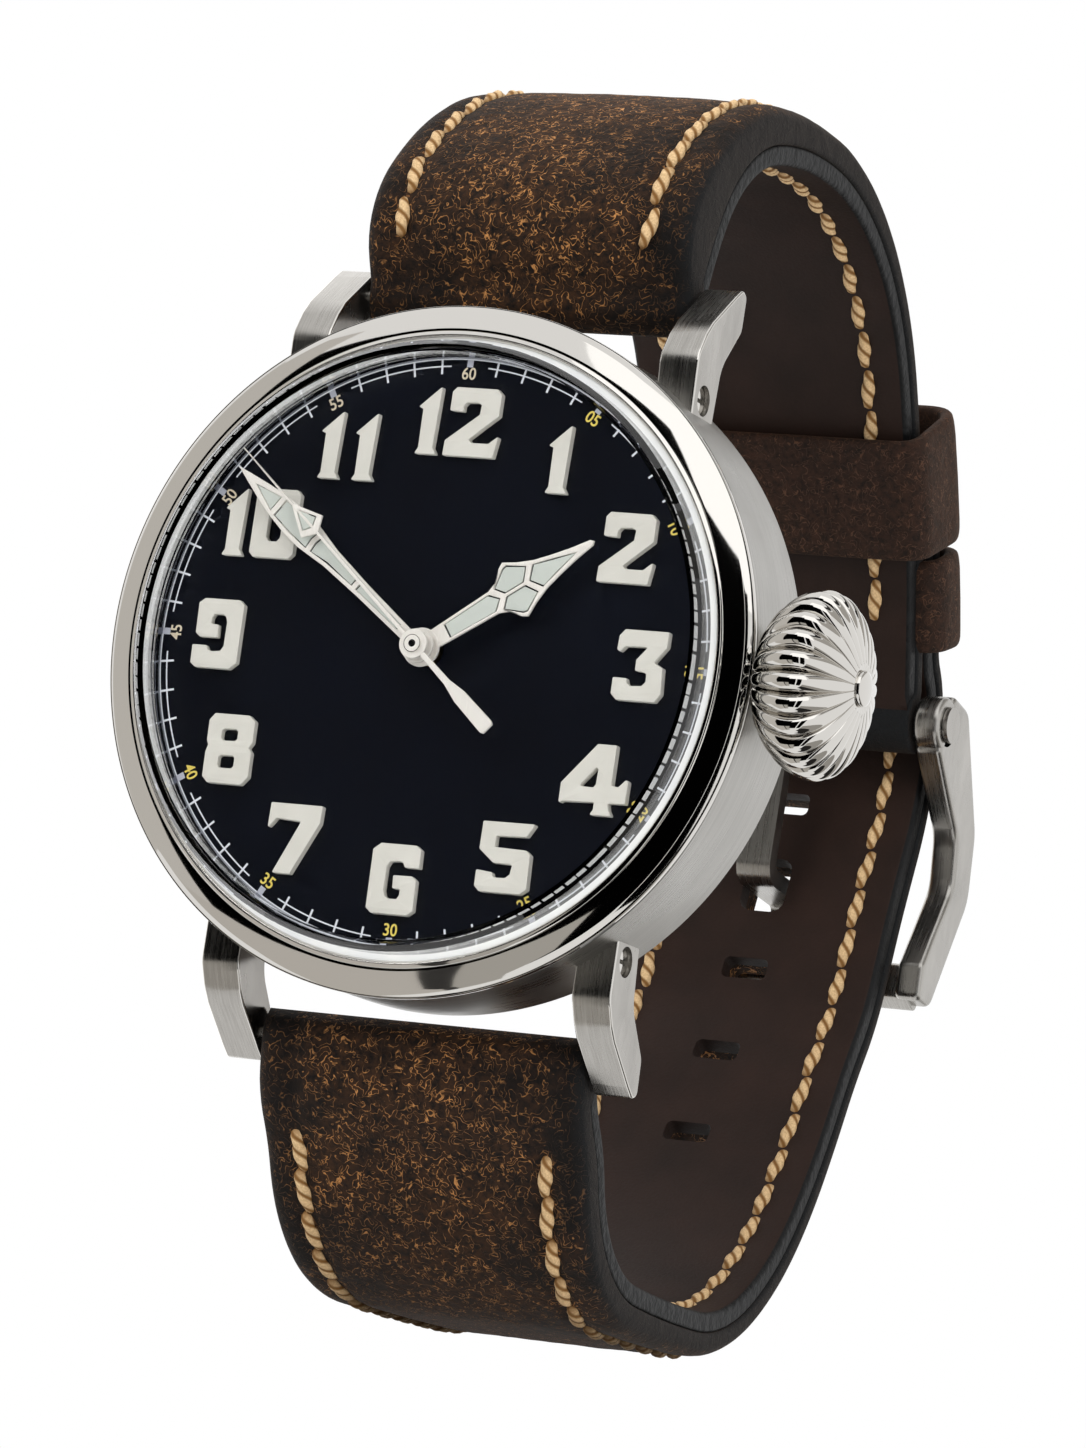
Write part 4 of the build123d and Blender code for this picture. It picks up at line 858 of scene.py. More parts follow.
@dataclass
class Case:
    """Middle case, bezel, crystal, lugs and the screws in their flanks."""

    flank_radius: float = 22.4
    cavity_radius: float = 19.5
    back_plate: float = 1.4
    seat_height: float = 9.5
    flank_chamfer: float = 0.25
    ledge_radius: float = 19.35
    ledge: float = 0.7
    strip_radius: float = 22.5
    strip: float = 0.62
    strip_chamfer: float = 0.3
    strip_step: float = 0.1
    rim_radius: float = 20.75
    rim_rise: float = 1.35
    lip_drop: float = 0.15
    belly: float = 0.03
    bead_shares: Line = (
        (0.03, -0.35), (0.08, -0.30), (0.12, 0.10), (0.55, 0.90), (0.66, 0.94), (0.85, 0.10), (0.93, -0.60),
    )
    bead_width: float = 0.55
    bead_height: float = 0.14
    groove_depth: float = 0.35
    groove_height: float = 0.12
    crystal_radius: float = 19.8
    crystal_edge: float = 2.3
    crystal_wall: float = 0.8
    crystal_inner_edge: float = 1.85
    crystal_rise: float = 1.8
    crystal_thickness: float = 1.2
    crystal_bevel: float = 0.35
    crystal_step: float = 0.06
    gasket_wall: float = 0.4
    notch_width: float = 2.8
    notch_height: float = 0.5
    notch_depth: float = 1.0
    notch_round: float = 0.2
    notch_clocks: tuple[float, ...] = (45, 140, 225, 315)
    lug_inner: float = 11.8
    lug_width: float = 2.7
    lug_root: float = 16.01
    lug_length: float = 10.6
    lug_shoulder: float = 6.6
    lug_bevel: float = 0.14
    lug_shares: tuple[tuple[float, float, float], ...] = (
        (0.985, 0, 0), (1.0, 0.46, 0.2), (0.86, 0.61, 0.2), (0.74, 0.695, 0), (0.27, 0.925, 0.1),
        (0.12, 0.99, 0.08), (0.02, 0.955, 0.05), (0.03, 0.735, 0.1), (0.40, 0.46, 0.27), (0.47, 0, 0),
    )
    screw_height: float = 4.9
    screw_step: float = 2.2
    screw_radius: float = 0.95
    screw_head: float = 0.8
    screw_sink: float = 0.3
    screw_play: float = 0.05
    screw_round: float = 0.1
    slot_width: float = 0.28
    slot_depth: float = 0.3
    edge_normals: Point = (0.12, 0.97)

    def build(self, shop: Workshop) -> None:
        """Make the case's pieces and dress the nodes that stay."""
        shop.piece("case_middle", self.flank(), [Coat.BRUSHED], "case", "brushed_steel", ["mid_case"])
        shop.piece("case_bezel", self.bezel(), [Coat.POLISHED], "case", "polished_steel", ["bezel"])
        shop.piece("domed_crystal", self.crystal(), [Coat.CRYSTAL], "case", "crystal_glass",
                   ["crystal"], weighted=False)
        self.lugs(shop)
        shop.piece("lug_flank_screws", self.screws(), [Coat.POLISHED], "case", "fine_steel",
                   ["lug_screws"])
        shop.dress(Coat.BRUSHED, "case_back")
        shop.dress(Coat.RUBBER, "case_back_gasket")
        shop.dress(Coat.GASKET, "crystal_gasket")

    def flank(self) -> Mesh:
        """Ring of the middle case, from the case back to the bezel's seat."""
        r, c = self.flank_radius, self.flank_chamfer
        return lathe([
            (self.cavity_radius, self.back_plate), (r - c, self.back_plate), (r, self.back_plate + c),
            (r, self.seat_height - c), (r - c, self.seat_height), (self.cavity_radius, self.seat_height),
        ])

    def bezel(self) -> Mesh:
        """Bezel with its strip, its chamfered and sloped band, its bead and the notches that open it."""
        seat = self.seat_height
        rim = seat + self.rim_rise
        strip_top = seat + self.strip
        strip_edge = self.strip_radius - self.strip_step
        groove = self.strip_radius - self.groove_depth
        bore = self.crystal_radius + self.gasket_wall
        band = arc_points((strip_edge - self.strip_chamfer, strip_top + self.strip_chamfer),
                          (self.rim_radius, rim), -self.belly, 12)
        bead = [(self.rim_radius - self.bead_width * along, rim + self.bead_height * up)
                for along, up in self.bead_shares]
        outline = [(bore, rim - self.lip_drop), (bore, seat + self.ledge),
                   (self.ledge_radius, seat + self.ledge), (self.ledge_radius, seat),
                   (groove, seat), (groove, seat + self.groove_height),
                   (self.strip_radius, seat + self.groove_height), (self.strip_radius, strip_top),
                   (strip_edge, strip_top)] + band + bead
        cutters = []
        for clock in self.notch_clocks:
            notch = block(self.notch_width, 2 * self.notch_depth, 2 * self.notch_height)
            rounded(notch, edges_by(notch, 1, True), self.notch_round, 3)
            cutters.append(moved(notch, on_dial(seat, self.strip_radius, clock, clock)))
        return carved(lathe(outline, bevel=0.03), gathered(cutters))

    def dome(self, radius: float, edge: float, rise: float) -> list[Point]:
        """Half of a dome's section, from its edge to the axis."""
        ball = (radius * radius + rise * rise) / (2 * rise)
        reach = math.asin(radius / ball)
        steps = 28
        return [(ball * math.sin(reach * (1 - i / steps)),
                 edge + rise - ball + ball * math.cos(reach * (1 - i / steps))) for i in range(steps + 1)]

    def crystal(self) -> Mesh:
        """Domed crystal, a cup that stands on the bezel's ledge, with a bevelled shoulder."""
        seat = self.seat_height + self.ledge
        edge = seat + self.crystal_edge
        inner = self.crystal_radius - self.crystal_wall
        inner_edge = seat + self.crystal_inner_edge
        room = edge + self.crystal_rise - self.crystal_thickness - inner_edge
        top = self.dome(self.crystal_radius - self.crystal_bevel, edge + self.crystal_step,
                        self.crystal_rise - self.crystal_step)
        under = self.dome(inner, inner_edge, room)
        outline = [(inner, seat), (self.crystal_radius, seat),
                   (self.crystal_radius, edge - self.crystal_bevel)] + top + under[::-1]
        bm = bmesh.new()
        line_round(bm, [(radius, -height, 0) for radius, height in outline])
        axis = [e for e in bm.edges if all(abs(v.co.x) < SAME for v in e.verts)]
        bmesh.ops.delete(bm, geom=axis, context="EDGES_FACES")
        spun(bm, list(bm.verts) + list(bm.edges), (0, 1, 0), 192)
        return outward(merged(bm))

    def lug_blank(self) -> Mesh:
        """The upper lug on the crown's side, with the recess for its screw."""
        places = [(-self.lug_shoulder * height, self.lug_root + self.lug_length * length)
                  for height, length, _ in self.lug_shares]
        radii = [self.lug_length * fillet for _, _, fillet in self.lug_shares]
        outer = self.lug_inner + self.lug_width
        body = prism(corner_rounded(places, radii, 8), self.lug_inner, outer, self.lug_bevel, 3)
        recess = disc(self.screw_radius + self.screw_play, 2 * self.screw_sink + self.screw_head)
        put = Matrix.Translation((outer, -self.screw_height, self.lug_root + self.screw_step))
        return carved(body, moved(recess, put @ SIDEWAYS))

    def lugs(self, shop: Workshop) -> None:
        """Make the four lugs, brushed with polished edges."""
        low, high = self.edge_normals
        for side, side_name in ((1, "crown_side"), (-1, "far_side")):
            for end, end_name in ((1, "upper"), (-1, "lower")):
                bm = outward(moved(self.lug_blank(), Matrix.Diagonal((side, 1, end, 1))))
                for face in bm.faces:
                    face.material_index = int(low < abs(face.normal.x) < high)
                shop.piece(f"{end_name}_{side_name}_horn", bm, [Coat.SATIN, Coat.POLISHED], "case",
                           "brushed_steel", [f"{end_name}_{side_name}_lug"])

    def screws(self) -> Mesh:
        """The four slotted screw heads, sunk in the lugs' flanks."""
        parts = []
        middle = self.lug_inner + self.lug_width - self.screw_sink - self.screw_head / 2
        along = self.lug_root + self.screw_step
        for side in (1, -1):
            for end in (1, -1):
                head = disc(self.screw_radius, self.screw_head, self.screw_round)
                slot = moved(block(self.slot_width, 3 * self.screw_radius, 2 * self.slot_depth),
                             Matrix.Translation((0, 0, self.screw_head / 2)))
                put = Matrix.Translation((middle, -self.screw_height, end * along))
                parts.append(outward(moved(carved(head, slot),
                                           Matrix.Diagonal((side, 1, 1, 1)) @ put @ SIDEWAYS)))
        return gathered(parts)


# Figures of the dial: corners as (across, up) shares of a figure's height, then the holes in it
GLYPH_SHARES: dict[str, list[list[Point]]] = {
    "0": [[(0.07, 0), (0, 0.07), (0, 0.93), (0.07, 1), (0.63, 1), (0.70, 0.93), (0.70, 0.07), (0.63, 0)],
          [(0.24, 0.30), (0.24, 0.70), (0.29, 0.76), (0.41, 0.76), (0.46, 0.70), (0.46, 0.30), (0.41, 0.24),
           (0.29, 0.24)]],
    "1": [[(0, 0), (0.34, 0), (0.275, 0.10), (0.30, 1.0), (-0.03, 0.68), (0.045, 0.655), (0.05, 0.09)]],
    "2": [[(0, 0), (0.78, 0), (0.83, 0.33), (0.685, 0.205), (0.42, 0.203), (0.372, 0.247), (0.79, 0.61),
           (0.79, 0.925), (0.71, 1.0), (0.085, 1.0), (0.023, 0.93), (0.023, 0.655), (0.23, 0.645),
           (0.228, 0.73), (0.27, 0.78), (0.433, 0.788), (0.50, 0.76), (0.49, 0.617), (0.008, 0.22)]],
    "3": [[(0.09, 0), (0, 0.083), (0, 0.316), (0.205, 0.312), (0.225, 0.24), (0.27, 0.207), (0.447, 0.218),
           (0.50, 0.28), (0.493, 0.39), (0.44, 0.415), (0.318, 0.428), (0.316, 0.58), (0.47, 0.768),
           (0.13, 0.758), (0.053, 0.678), (0.008, 0.71), (0.02, 0.905), (0.097, 1.0), (0.76, 1.0),
           (0.757, 0.782), (0.59, 0.557), (0.73, 0.485), (0.75, 0.118), (0.667, 0)]],
    "4": [[(0, 0.158), (0, 0.425), (0.48, 1.0), (0.768, 1.0), (0.765, 0.43), (0.87, 0.418), (0.975, 0.53),
           (1.01, 0.50), (1.005, 0.184), (0.745, 0.177), (0.77, 0.08), (0.82, 0), (0.487, 0), (0.535, 0.077),
           (0.535, 0.182), (0.05, 0.165), (0.02, 0.14)],
          [(0.508, 0.672), (0.535, 0.641), (0.528, 0.432), (0.494, 0.388), (0.31, 0.392), (0.296, 0.418)]],
    "5": [[(0.08, 0), (0, 0.075), (0, 0.307), (0.247, 0.28), (0.253, 0.237), (0.29, 0.21), (0.453, 0.215),
           (0.517, 0.273), (0.535, 0.40), (0.498, 0.41), (0.24, 0.418), (0.006, 0.60), (0.014, 0.997),
           (0.81, 1.0), (0.697, 0.812), (0.242, 0.797), (0.237, 0.64), (0.714, 0.625), (0.79, 0.563),
           (0.80, 0.075), (0.703, 0)]],
    "6": [[(0.085, 0), (0, 0.07), (0, 0.905), (0.115, 1.0), (0.655, 1.0), (0.74, 0.94), (0.745, 0.677),
           (0.52, 0.677), (0.485, 0.745), (0.415, 0.76), (0.285, 0.745), (0.243, 0.674), (0.24, 0.332),
           (0.267, 0.257), (0.32, 0.22), (0.456, 0.223), (0.49, 0.288), (0.487, 0.365), (0.368, 0.372),
           (0.36, 0.557), (0.645, 0.562), (0.72, 0.505), (0.728, 0.07), (0.637, 0)]],
    "7": [[(0.145, 0), (0.425, 0), (0.80, 0.75), (0.81, 1.0), (0, 1.0), (-0.015, 0.62), (0.11, 0.78),
           (0.50, 0.755)]],
    "8": [[(0.09, 0), (0, 0.085), (0, 0.44), (0.03, 0.54), (0, 0.605), (0, 0.90), (0.08, 1.0), (0.625, 1.0),
           (0.73, 0.92), (0.73, 0.615), (0.68, 0.535), (0.73, 0.47), (0.73, 0.12), (0.625, 0)],
          [(0.225, 0.65), (0.225, 0.755), (0.26, 0.785), (0.445, 0.79), (0.48, 0.755), (0.48, 0.65),
           (0.445, 0.62), (0.26, 0.615)],
          [(0.22, 0.26), (0.22, 0.375), (0.255, 0.405), (0.44, 0.41), (0.475, 0.375), (0.475, 0.26),
           (0.44, 0.225), (0.255, 0.225)]],
}
GLYPH_WIDTH_SHARES = {"0": 0.70, "1": 0.34, "2": 0.79, "3": 0.76, "4": 1.0, "5": 0.80, "6": 0.74,
                      "7": 0.81, "8": 0.73, "9": 0.74}


@dataclass
class Dial:
    """Dial with its printed minute track, small minute figures and raised luminous numerals."""

    face: float = 9.3
    radius: float = 19.3
    ring_wall: float = 0.35
    ring_top_wall: float = 0.15
    ring_top: float = 10.2
    numeral_height: float = 4.5
    numeral_thickness: float = 0.55
    numeral_bevel: float = 0.05
    numeral_reach: float = 14.75
    numeral_corner: float = 0.09
    figure_gap_share: float = 0.10
    track_outer: float = 18.97
    track_inner: float = 18.50
    track_line: float = 0.09
    tick_inner: float = 17.95
    tick_width: float = 0.13
    mark_width: float = 0.42
    mark_reach: float = 0.56
    figure_reach: float = 17.95
    figure_size: float = 1.12
    figure_gap: float = 4.0
    ink: float = 0.02
    arc_step: float = 1.5
    squeeze: float = 0.9

    def build(self, shop: Workshop) -> None:
        """Make the raised and printed pieces, and dress the plate."""
        shop.dress(Coat.LACQUER, "dial")
        ring = lathe([(self.radius - self.ring_wall, self.face), (self.radius, self.face),
                      (self.radius, self.ring_top), (self.radius - self.ring_top_wall, self.ring_top)],
                     bevel=0.03)
        shop.piece("rehaut_ring", ring, [Coat.REHAUT], "case", "ring_black", ["flange_ring"])
        shop.piece("raised_numerals", self.numerals(), [Coat.LUME], "case", "lume")
        shop.piece("minute_track", self.track(), [Coat.PRINT], "case", "lume")
        shop.piece("minute_track_marks", self.marks(), [Coat.MARK], "case", "lume")
        for name, finish, low, high in (("minute_figures_yellow", Coat.YELLOW, 5, 40),
                                        ("minute_figures_cream", Coat.CREAM, 45, 60)):
            parts = [self.figure(minute) for minute in range(low, high + 1, 5)]
            shop.piece(name, gathered(parts), [finish], "case", "lume", weighted=False)

    def glyph(self, figure: str) -> list[list[Point]]:
        """Outlines of one figure, of unit height; nine is a six turned over."""
        if figure != "9":
            return GLYPH_SHARES[figure]
        wide = GLYPH_WIDTH_SHARES["6"]
        return [[(wide - x, 1 - y) for x, y in outline] for outline in GLYPH_SHARES["6"]]

    def numerals(self) -> Mesh:
        """All twelve hour numerals, upright round the dial."""
        parts = []
        for hour in range(1, 13):
            text = str(hour)
            widths = [GLYPH_WIDTH_SHARES[figure] for figure in text]
            gap = self.figure_gap_share * (2 if text == "11" else 1)
            start = -(sum(widths) + gap * (len(text) - 1)) / 2
            for figure, width in zip(text, widths):
                outlines = []
                for outline in self.glyph(figure):
                    scaled = [((start + x) * self.numeral_height, (y - 0.5) * self.numeral_height)
                              for x, y in outline]
                    outlines.append(corner_rounded(scaled, self.numeral_corner, 3))
                shape = flat_shape(outlines, self.numeral_thickness, self.numeral_bevel)
                parts.append(moved(shape, on_dial(self.face, self.numeral_reach, hour * HOUR_ANGLE)))
                start += width + gap
        return gathered(parts)

    def arc(self, inner: float, outer: float, start: float, sweep: float) -> Mesh:
        """Printed stripe between two radii, from a clock angle through a sweep in degrees."""
        bm = bmesh.new()
        base, top = -self.face, -self.face - self.ink
        corners = [(inner, base), (outer, base), (outer, top), (inner, top)]
        spun(bm, line_round(bm, [(0, y, radius) for radius, y in corners]), (0, 1, 0),
             max(2, round(sweep / self.arc_step)), sweep)
        if sweep < 360:
            bmesh.ops.holes_fill(bm, edges=[e for e in bm.edges if e.is_boundary], sides=4)
        return outward(moved(bm, Matrix.Rotation(math.radians(start), 4, "Y")))

    def stroke(self, inner: float, outer: float, width: float, clock: float) -> Mesh:
        """Printed bar across the track at a clock angle."""
        bar = moved(block(width, outer - inner, self.ink), Matrix.Translation((0, 0, self.ink / 2)))
        return moved(bar, on_dial(self.face, (inner + outer) / 2, clock, clock))

    def track(self) -> Mesh:
        """Two circles, the inner one open at the figures, and a stroke for each minute."""
        line = self.track_line
        parts = [self.arc(self.track_outer - line, self.track_outer, 0, 360)]
        for hour in range(12):
            parts.append(self.arc(self.track_inner - line, self.track_inner,
                                  hour * HOUR_ANGLE + self.figure_gap, HOUR_ANGLE - 2 * self.figure_gap))
        for minute in range(60):
            if minute % 5:
                parts.append(self.stroke(self.tick_inner, self.track_outer, self.tick_width,
                                         minute * MINUTE_ANGLE))
        return gathered(parts)

    def marks(self) -> Mesh:
        """Small blocks on the outer circle at every fifth minute."""
        return gathered(self.stroke(self.track_outer - self.mark_reach, self.track_outer, self.mark_width,
                                    hour * HOUR_ANGLE) for hour in range(12))

    def figure(self, minute: int) -> Mesh:
        """One small minute figure, its head outwards on the upper half and inwards below."""
        clock = minute * MINUTE_ANGLE
        turn = clock + (180 if 90 < clock < 270 else 0)
        bm = lettering(f"{minute:02d}", self.figure_size, self.ink)
        bmesh.ops.scale(bm, vec=(self.squeeze, 1, 1), verts=bm.verts)
        return moved(bm, on_dial(self.face, self.figure_reach, clock, turn))


@dataclass
class Hand:
    """One hand: a steel frame with luminous cells, or a plain blade."""

    name: str
    height: float
    angle: float
    hub_radius: float
    outlines: list[list[Point]]
    cells: list[list[Point]]
    hub_rise: float = 0.02
    hub_round: float = 0.05
    thickness: float = 0.2
    bevel: float = 0.045
    cell_thickness: float = 0.15
    cell_bevel: float = 0.02
    cell_gap: float = 0.11

    def build(self, shop: Workshop) -> None:
        """Make the frame with its hub, and the fillings of its cells."""
        shapes = [flat_shape([outline] + (self.cells if index == 0 else []), self.thickness, self.bevel)
                  for index, outline in enumerate(self.outlines)]
        tall = self.thickness + self.hub_rise
        hub = moved(disc(self.hub_radius, tall, self.hub_round, sides=64),
                    Matrix.Translation((0, 0, tall / 2)))
        fills = [flat_shape([shrunk(cell, self.cell_gap)], self.cell_thickness, self.cell_bevel)
                 for cell in self.cells]
        for kind, parts, finish, slot, node in (
                ("frame", shapes + [hub], Coat.HAND, "hand_steel", f"{self.name}_hand"),
                ("cells", fills, Coat.CELL, "lume", f"{self.name}_hand_lume")):
            bm = moved(gathered(parts), on_dial(self.height, turn=self.angle))
            shop.piece(f"{self.name}_{kind}", bm, [finish], self.name, slot, [node])


def shrunk(outline: Sequence[Point], gap: float) -> list[Point]:
    """The same outline with its corners drawn in towards its middle by a gap."""
    middle = Vector((sum(x for x, _ in outline), sum(y for _, y in outline))) / len(outline)
    return [tuple(Vector(p) + (middle - Vector(p)).normalized() * gap) for p in outline]


def mirrored(shares: Sequence[Point], reach: float, half: float) -> list[Point]:
    """Outline of a hand that points to twelve, from the (along, across) shares of one side."""
    right = scaled(shares, reach, half)
    left = [(-x, y) for x, y in reversed(right) if x > 0]
    return right + left


def scaled(shares: Sequence[Point], reach: float, half: float) -> list[Point]:
    """Outline from (along, across) shares."""
    return [(half * across, reach * along) for along, across in shares]


@dataclass
class HandSet:
    """Hour, minute and seconds hands, and the cap on the middle.

    A seat is a hand's height, its clock angle and its hub's radius; a size is its reach and half its width.
    """

    hour_seat: Place = (10.3, 55.0, 1.25)
    hour_size: Point = (13.2, 2.0)
    minute_seat: Place = (10.9, 306.8, 1.1)
    minute_size: Point = (18.0, 1.0)
    seconds_seat: Place = (11.5, 310.4, 0.95)
    seconds_size: Point = (18.4, 1.0)
    tail_size: Point = (7.8, 1.0)
    cap_foot: float = 11.4
    cap_top: float = 11.85
    cap_radius: float = 0.57
    cap_bore: float = 0.2
    hour_shares: Line = (
        (0, 0.30), (0.42, 0.40), (0.475, 0.55), (0.515, 0.88), (0.545, 1.0), (0.61, 0.75), (0.69, 0.52),
        (0.78, 0.36), (0.89, 0.20), (0.985, 0.10), (1.0, 0),
    )
    hour_cell_shares: tuple[Line, ...] = (
        ((0.15, -0.24), (0.15, 0.24), (0.415, 0.31), (0.46, 0), (0.415, -0.31)),
        ((0.45, 0.37), (0.53, 0.82), (0.555, 0.86), (0.645, 0.47), (0.60, 0.05), (0.49, 0.05)),
        ((0.45, -0.37), (0.49, -0.05), (0.60, -0.05), (0.645, -0.47), (0.555, -0.86), (0.53, -0.82)),
        ((0.625, 0), (0.675, 0.42), (0.78, 0.23), (0.90, 0.02), (0.78, -0.23), (0.675, -0.42)),
    )
    minute_shares: Line = (
        (0, 0.42), (0.30, 0.52), (0.48, 0.68), (0.56, 0.88), (0.61, 1.0), (0.69, 1.0), (0.77, 0.86),
        (0.86, 0.58), (0.95, 0.22), (1.0, 0),
    )
    minute_cell_shares: tuple[Line, ...] = (
        ((0.10, -0.20), (0.10, 0.20), (0.325, 0.26), (0.325, -0.26)),
        ((0.345, -0.28), (0.345, 0.28), (0.48, 0.42), (0.56, 0.62), (0.565, 0), (0.56, -0.62), (0.48, -0.42)),
        ((0.585, 0), (0.58, 0.68), (0.68, 0.74), (0.765, 0.62), (0.765, -0.62), (0.68, -0.74), (0.58, -0.68)),
        ((0.785, -0.58), (0.785, 0.58), (0.90, 0)),
    )
    needle_shares: Line = ((0, 0.13), (0.56, 0.10), (1.0, 0.03))
    arrow_shares: Line = ((0.555, 0), (0.59, 1.0), (0.70, 0.10), (0.70, 0))
    arrow_cell_shares: Line = ((0.585, 0), (0.605, 0.66), (0.68, 0), (0.605, -0.66))
    tail_shares: Line = ((0, 0.16), (0.45, 0.22), (0.62, 0.46), (0.97, 0.52), (1.0, 0.40))

    def build(self, shop: Workshop) -> None:
        """Make the three hands, the cap, and dress the pipes that carry them."""
        tail = [(-x, -y) for x, y in mirrored(self.tail_shares, *self.tail_size)]
        Hand("hour", *self.hour_seat, [mirrored(self.hour_shares, *self.hour_size)],
             [scaled(cell, *self.hour_size) for cell in self.hour_cell_shares]).build(shop)
        Hand("minute", *self.minute_seat, [mirrored(self.minute_shares, *self.minute_size)],
             [scaled(cell, *self.minute_size) for cell in self.minute_cell_shares]).build(shop)
        Hand("seconds", *self.seconds_seat,
             [mirrored(self.arrow_shares, *self.seconds_size),
              mirrored(self.needle_shares, *self.seconds_size), tail],
             [scaled(self.arrow_cell_shares, *self.seconds_size)]).build(shop)
        cap = lathe([(self.cap_bore, self.cap_foot), (self.cap_radius, self.cap_foot),
                     (self.cap_radius, self.cap_top), (self.cap_bore, self.cap_top)], steps=64)
        shop.piece("seconds_cap", cap, [Coat.HAND], "seconds", "hand_steel")
        shop.dress(Coat.POLISHED, "seconds_arbor")
        shop.dress(Coat.BRASS, "hour_wheel", "cannon_pinion")


@dataclass
class Crown:
    """Onion crown: twenty-four round lobes drawn in at both ends, with a button."""

    axis_height: float = 7.5
    start: float = 22.8
    length: float = 6.3
    radius: float = 6.03
    lobes: int = 24
    lobe_depth_share: float = 0.15
    lobe_steps: int = 16
    button_radius: float = 1.15
    button_length: float = 0.35
    button_margin: float = 0.05
    button_shares: Line = (
        (-0.3, 1.0), (0.36, 1.0), (0.55, 0.95), (0.74, 0.78), (0.9, 0.5), (0.98, 0.22), (1.0, 0.0),
    )
    bore: float = 1.54
    profile_shares: Line = (
        (0.0, 0.56), (0.08, 0.70), (0.22, 0.86), (0.40, 0.97), (0.56, 1.0), (0.71, 0.94), (0.84, 0.78),
        (0.94, 0.53), (1.0, 0.26),
    )

    def build(self, shop: Workshop) -> None:
        """Make the lobed shell with its button, and dress stem and tube."""
        shop.piece("lobed_crown", self.shell(), [Coat.POLISHED], "crown_turn", "polished_steel",
                   ["crown"], sharp=50, weighted=False)
        shop.dress(Coat.POLISHED, "crown_tube", "stem")
        shop.dress(Coat.RUBBER, "crown_gasket")
        shop.dress(Coat.SATIN, "setting_lever")

    def shell(self) -> Mesh:
        """Spin the profile, then press the grooves between the lobes into it."""
        end = self.start + self.length
        places = [(self.start, self.bore)]
        places += [(self.start + self.length * along, self.radius * out)
                   for along, out in curve_through(self.profile_shares, 5)]
        places += [(end + self.button_length * along, self.button_radius * out)
                   for along, out in self.button_shares]
        bm = bmesh.new()
        verts = [bm.verts.new((x, 0, r)) for x, r in places]
        edges = [bm.edges.new((a, b)) for a, b in zip(verts, verts[1:])]
        spun(bm, verts + edges, (1, 0, 0), self.lobes * self.lobe_steps)
        for vert in merged(bm).verts:
            out = math.hypot(vert.co.y, vert.co.z)
            if out > self.button_radius + self.button_margin and vert.co.x < end:
                turn = math.atan2(vert.co.y, vert.co.z) * self.lobes / FULL_TURN
                across = 2 * (turn % 1) - 1
                press = 1 - self.lobe_depth_share * (1 - math.sqrt(max(0.0, 1 - across * across)))
                vert.co.y *= press
                vert.co.z *= press
        return moved(outward(bm), Matrix.Translation((0, -self.axis_height, 0)))


@dataclass(frozen=True)
class Bend:
    """Part of a line of even curvature, in side view."""

    start: Vector
    heading: float
    curvature: float
    length: float

    def at(self, distance: float) -> tuple[Vector, float]:
        """Place and heading at a distance along it."""
        heading = self.heading + self.curvature * distance
        if abs(self.curvature) < ALIKE:
            run = Vector((math.cos(heading), math.sin(heading))) * distance
        else:
            run = Vector((math.sin(heading) - math.sin(self.heading),
                          math.cos(self.heading) - math.cos(heading))) / self.curvature
        return self.start + run, heading


def bend_to(start: Vector, heading: float, end: Vector) -> Bend:
    """The bend that leaves start along a heading, in radians, and reaches end."""
    chord = end - start
    turn = (math.atan2(chord.y, chord.x) - heading + math.pi) % (2 * math.pi) - math.pi
    if abs(turn) < ALIKE:
        return Bend(start, heading, 0.0, chord.length)
    return Bend(start, heading, 2 * math.sin(turn) / chord.length, chord.length * turn / math.sin(turn))


@dataclass
class Route:
    """Side view of a strap's wrist side, through stations of (depth, height, heading in degrees)."""

    stations: list[tuple[float, float, float]]
    bends: list[Bend] = field(default_factory=list)
    marks: list[float] = field(default_factory=list)

    def __post_init__(self) -> None:
        """Join each pair of stations by two bends."""
        self.marks = [0.0]
        for first, last in zip(self.stations, self.stations[1:]):
            start, end = Vector(first[:2]), Vector(last[:2])
            a, b = math.radians(first[2]), math.radians(last[2])
            leave = Vector((math.cos(a), math.sin(a)))
            arrive = Vector((math.cos(b), math.sin(b)))
            run = end - start
            lean = 2 * (1 - leave.dot(arrive))
            both = run.dot(leave + arrive)
            if lean < 1e-8:
                span = run.length_squared / (4 * run.dot(arrive))
            else:
                span = (-both + math.sqrt(both * both + lean * run.length_squared)) / lean
            middle = (start + end + (leave - arrive) * span) / 2
            opening = bend_to(start, a, middle)
            closing = bend_to(middle, opening.at(opening.length)[1], end)
            self.bends += [opening, closing]
            self.marks.append(self.marks[-1] + opening.length + closing.length)

    @property
    def length(self) -> float:
        """Length of the whole route."""
        return self.marks[-1]

    def at(self, distance: float) -> tuple[Vector, float]:
        """Place and heading in radians at a distance, run on straight past both ends."""
        left = distance
        for bend in self.bends:
            if left <= bend.length or bend is self.bends[-1]:
                break
            left -= bend.length
        if left < 0 or left > bend.length:
            edge = 0.0 if left < 0 else bend.length
            place, heading = bend.at(edge)
            return place + Vector((math.cos(heading), math.sin(heading))) * (left - edge), heading
        return bend.at(left)


class Layer(Enum):
    """The two layers of a strap half."""

    LEATHER = "leather"
    LINING = "lining"


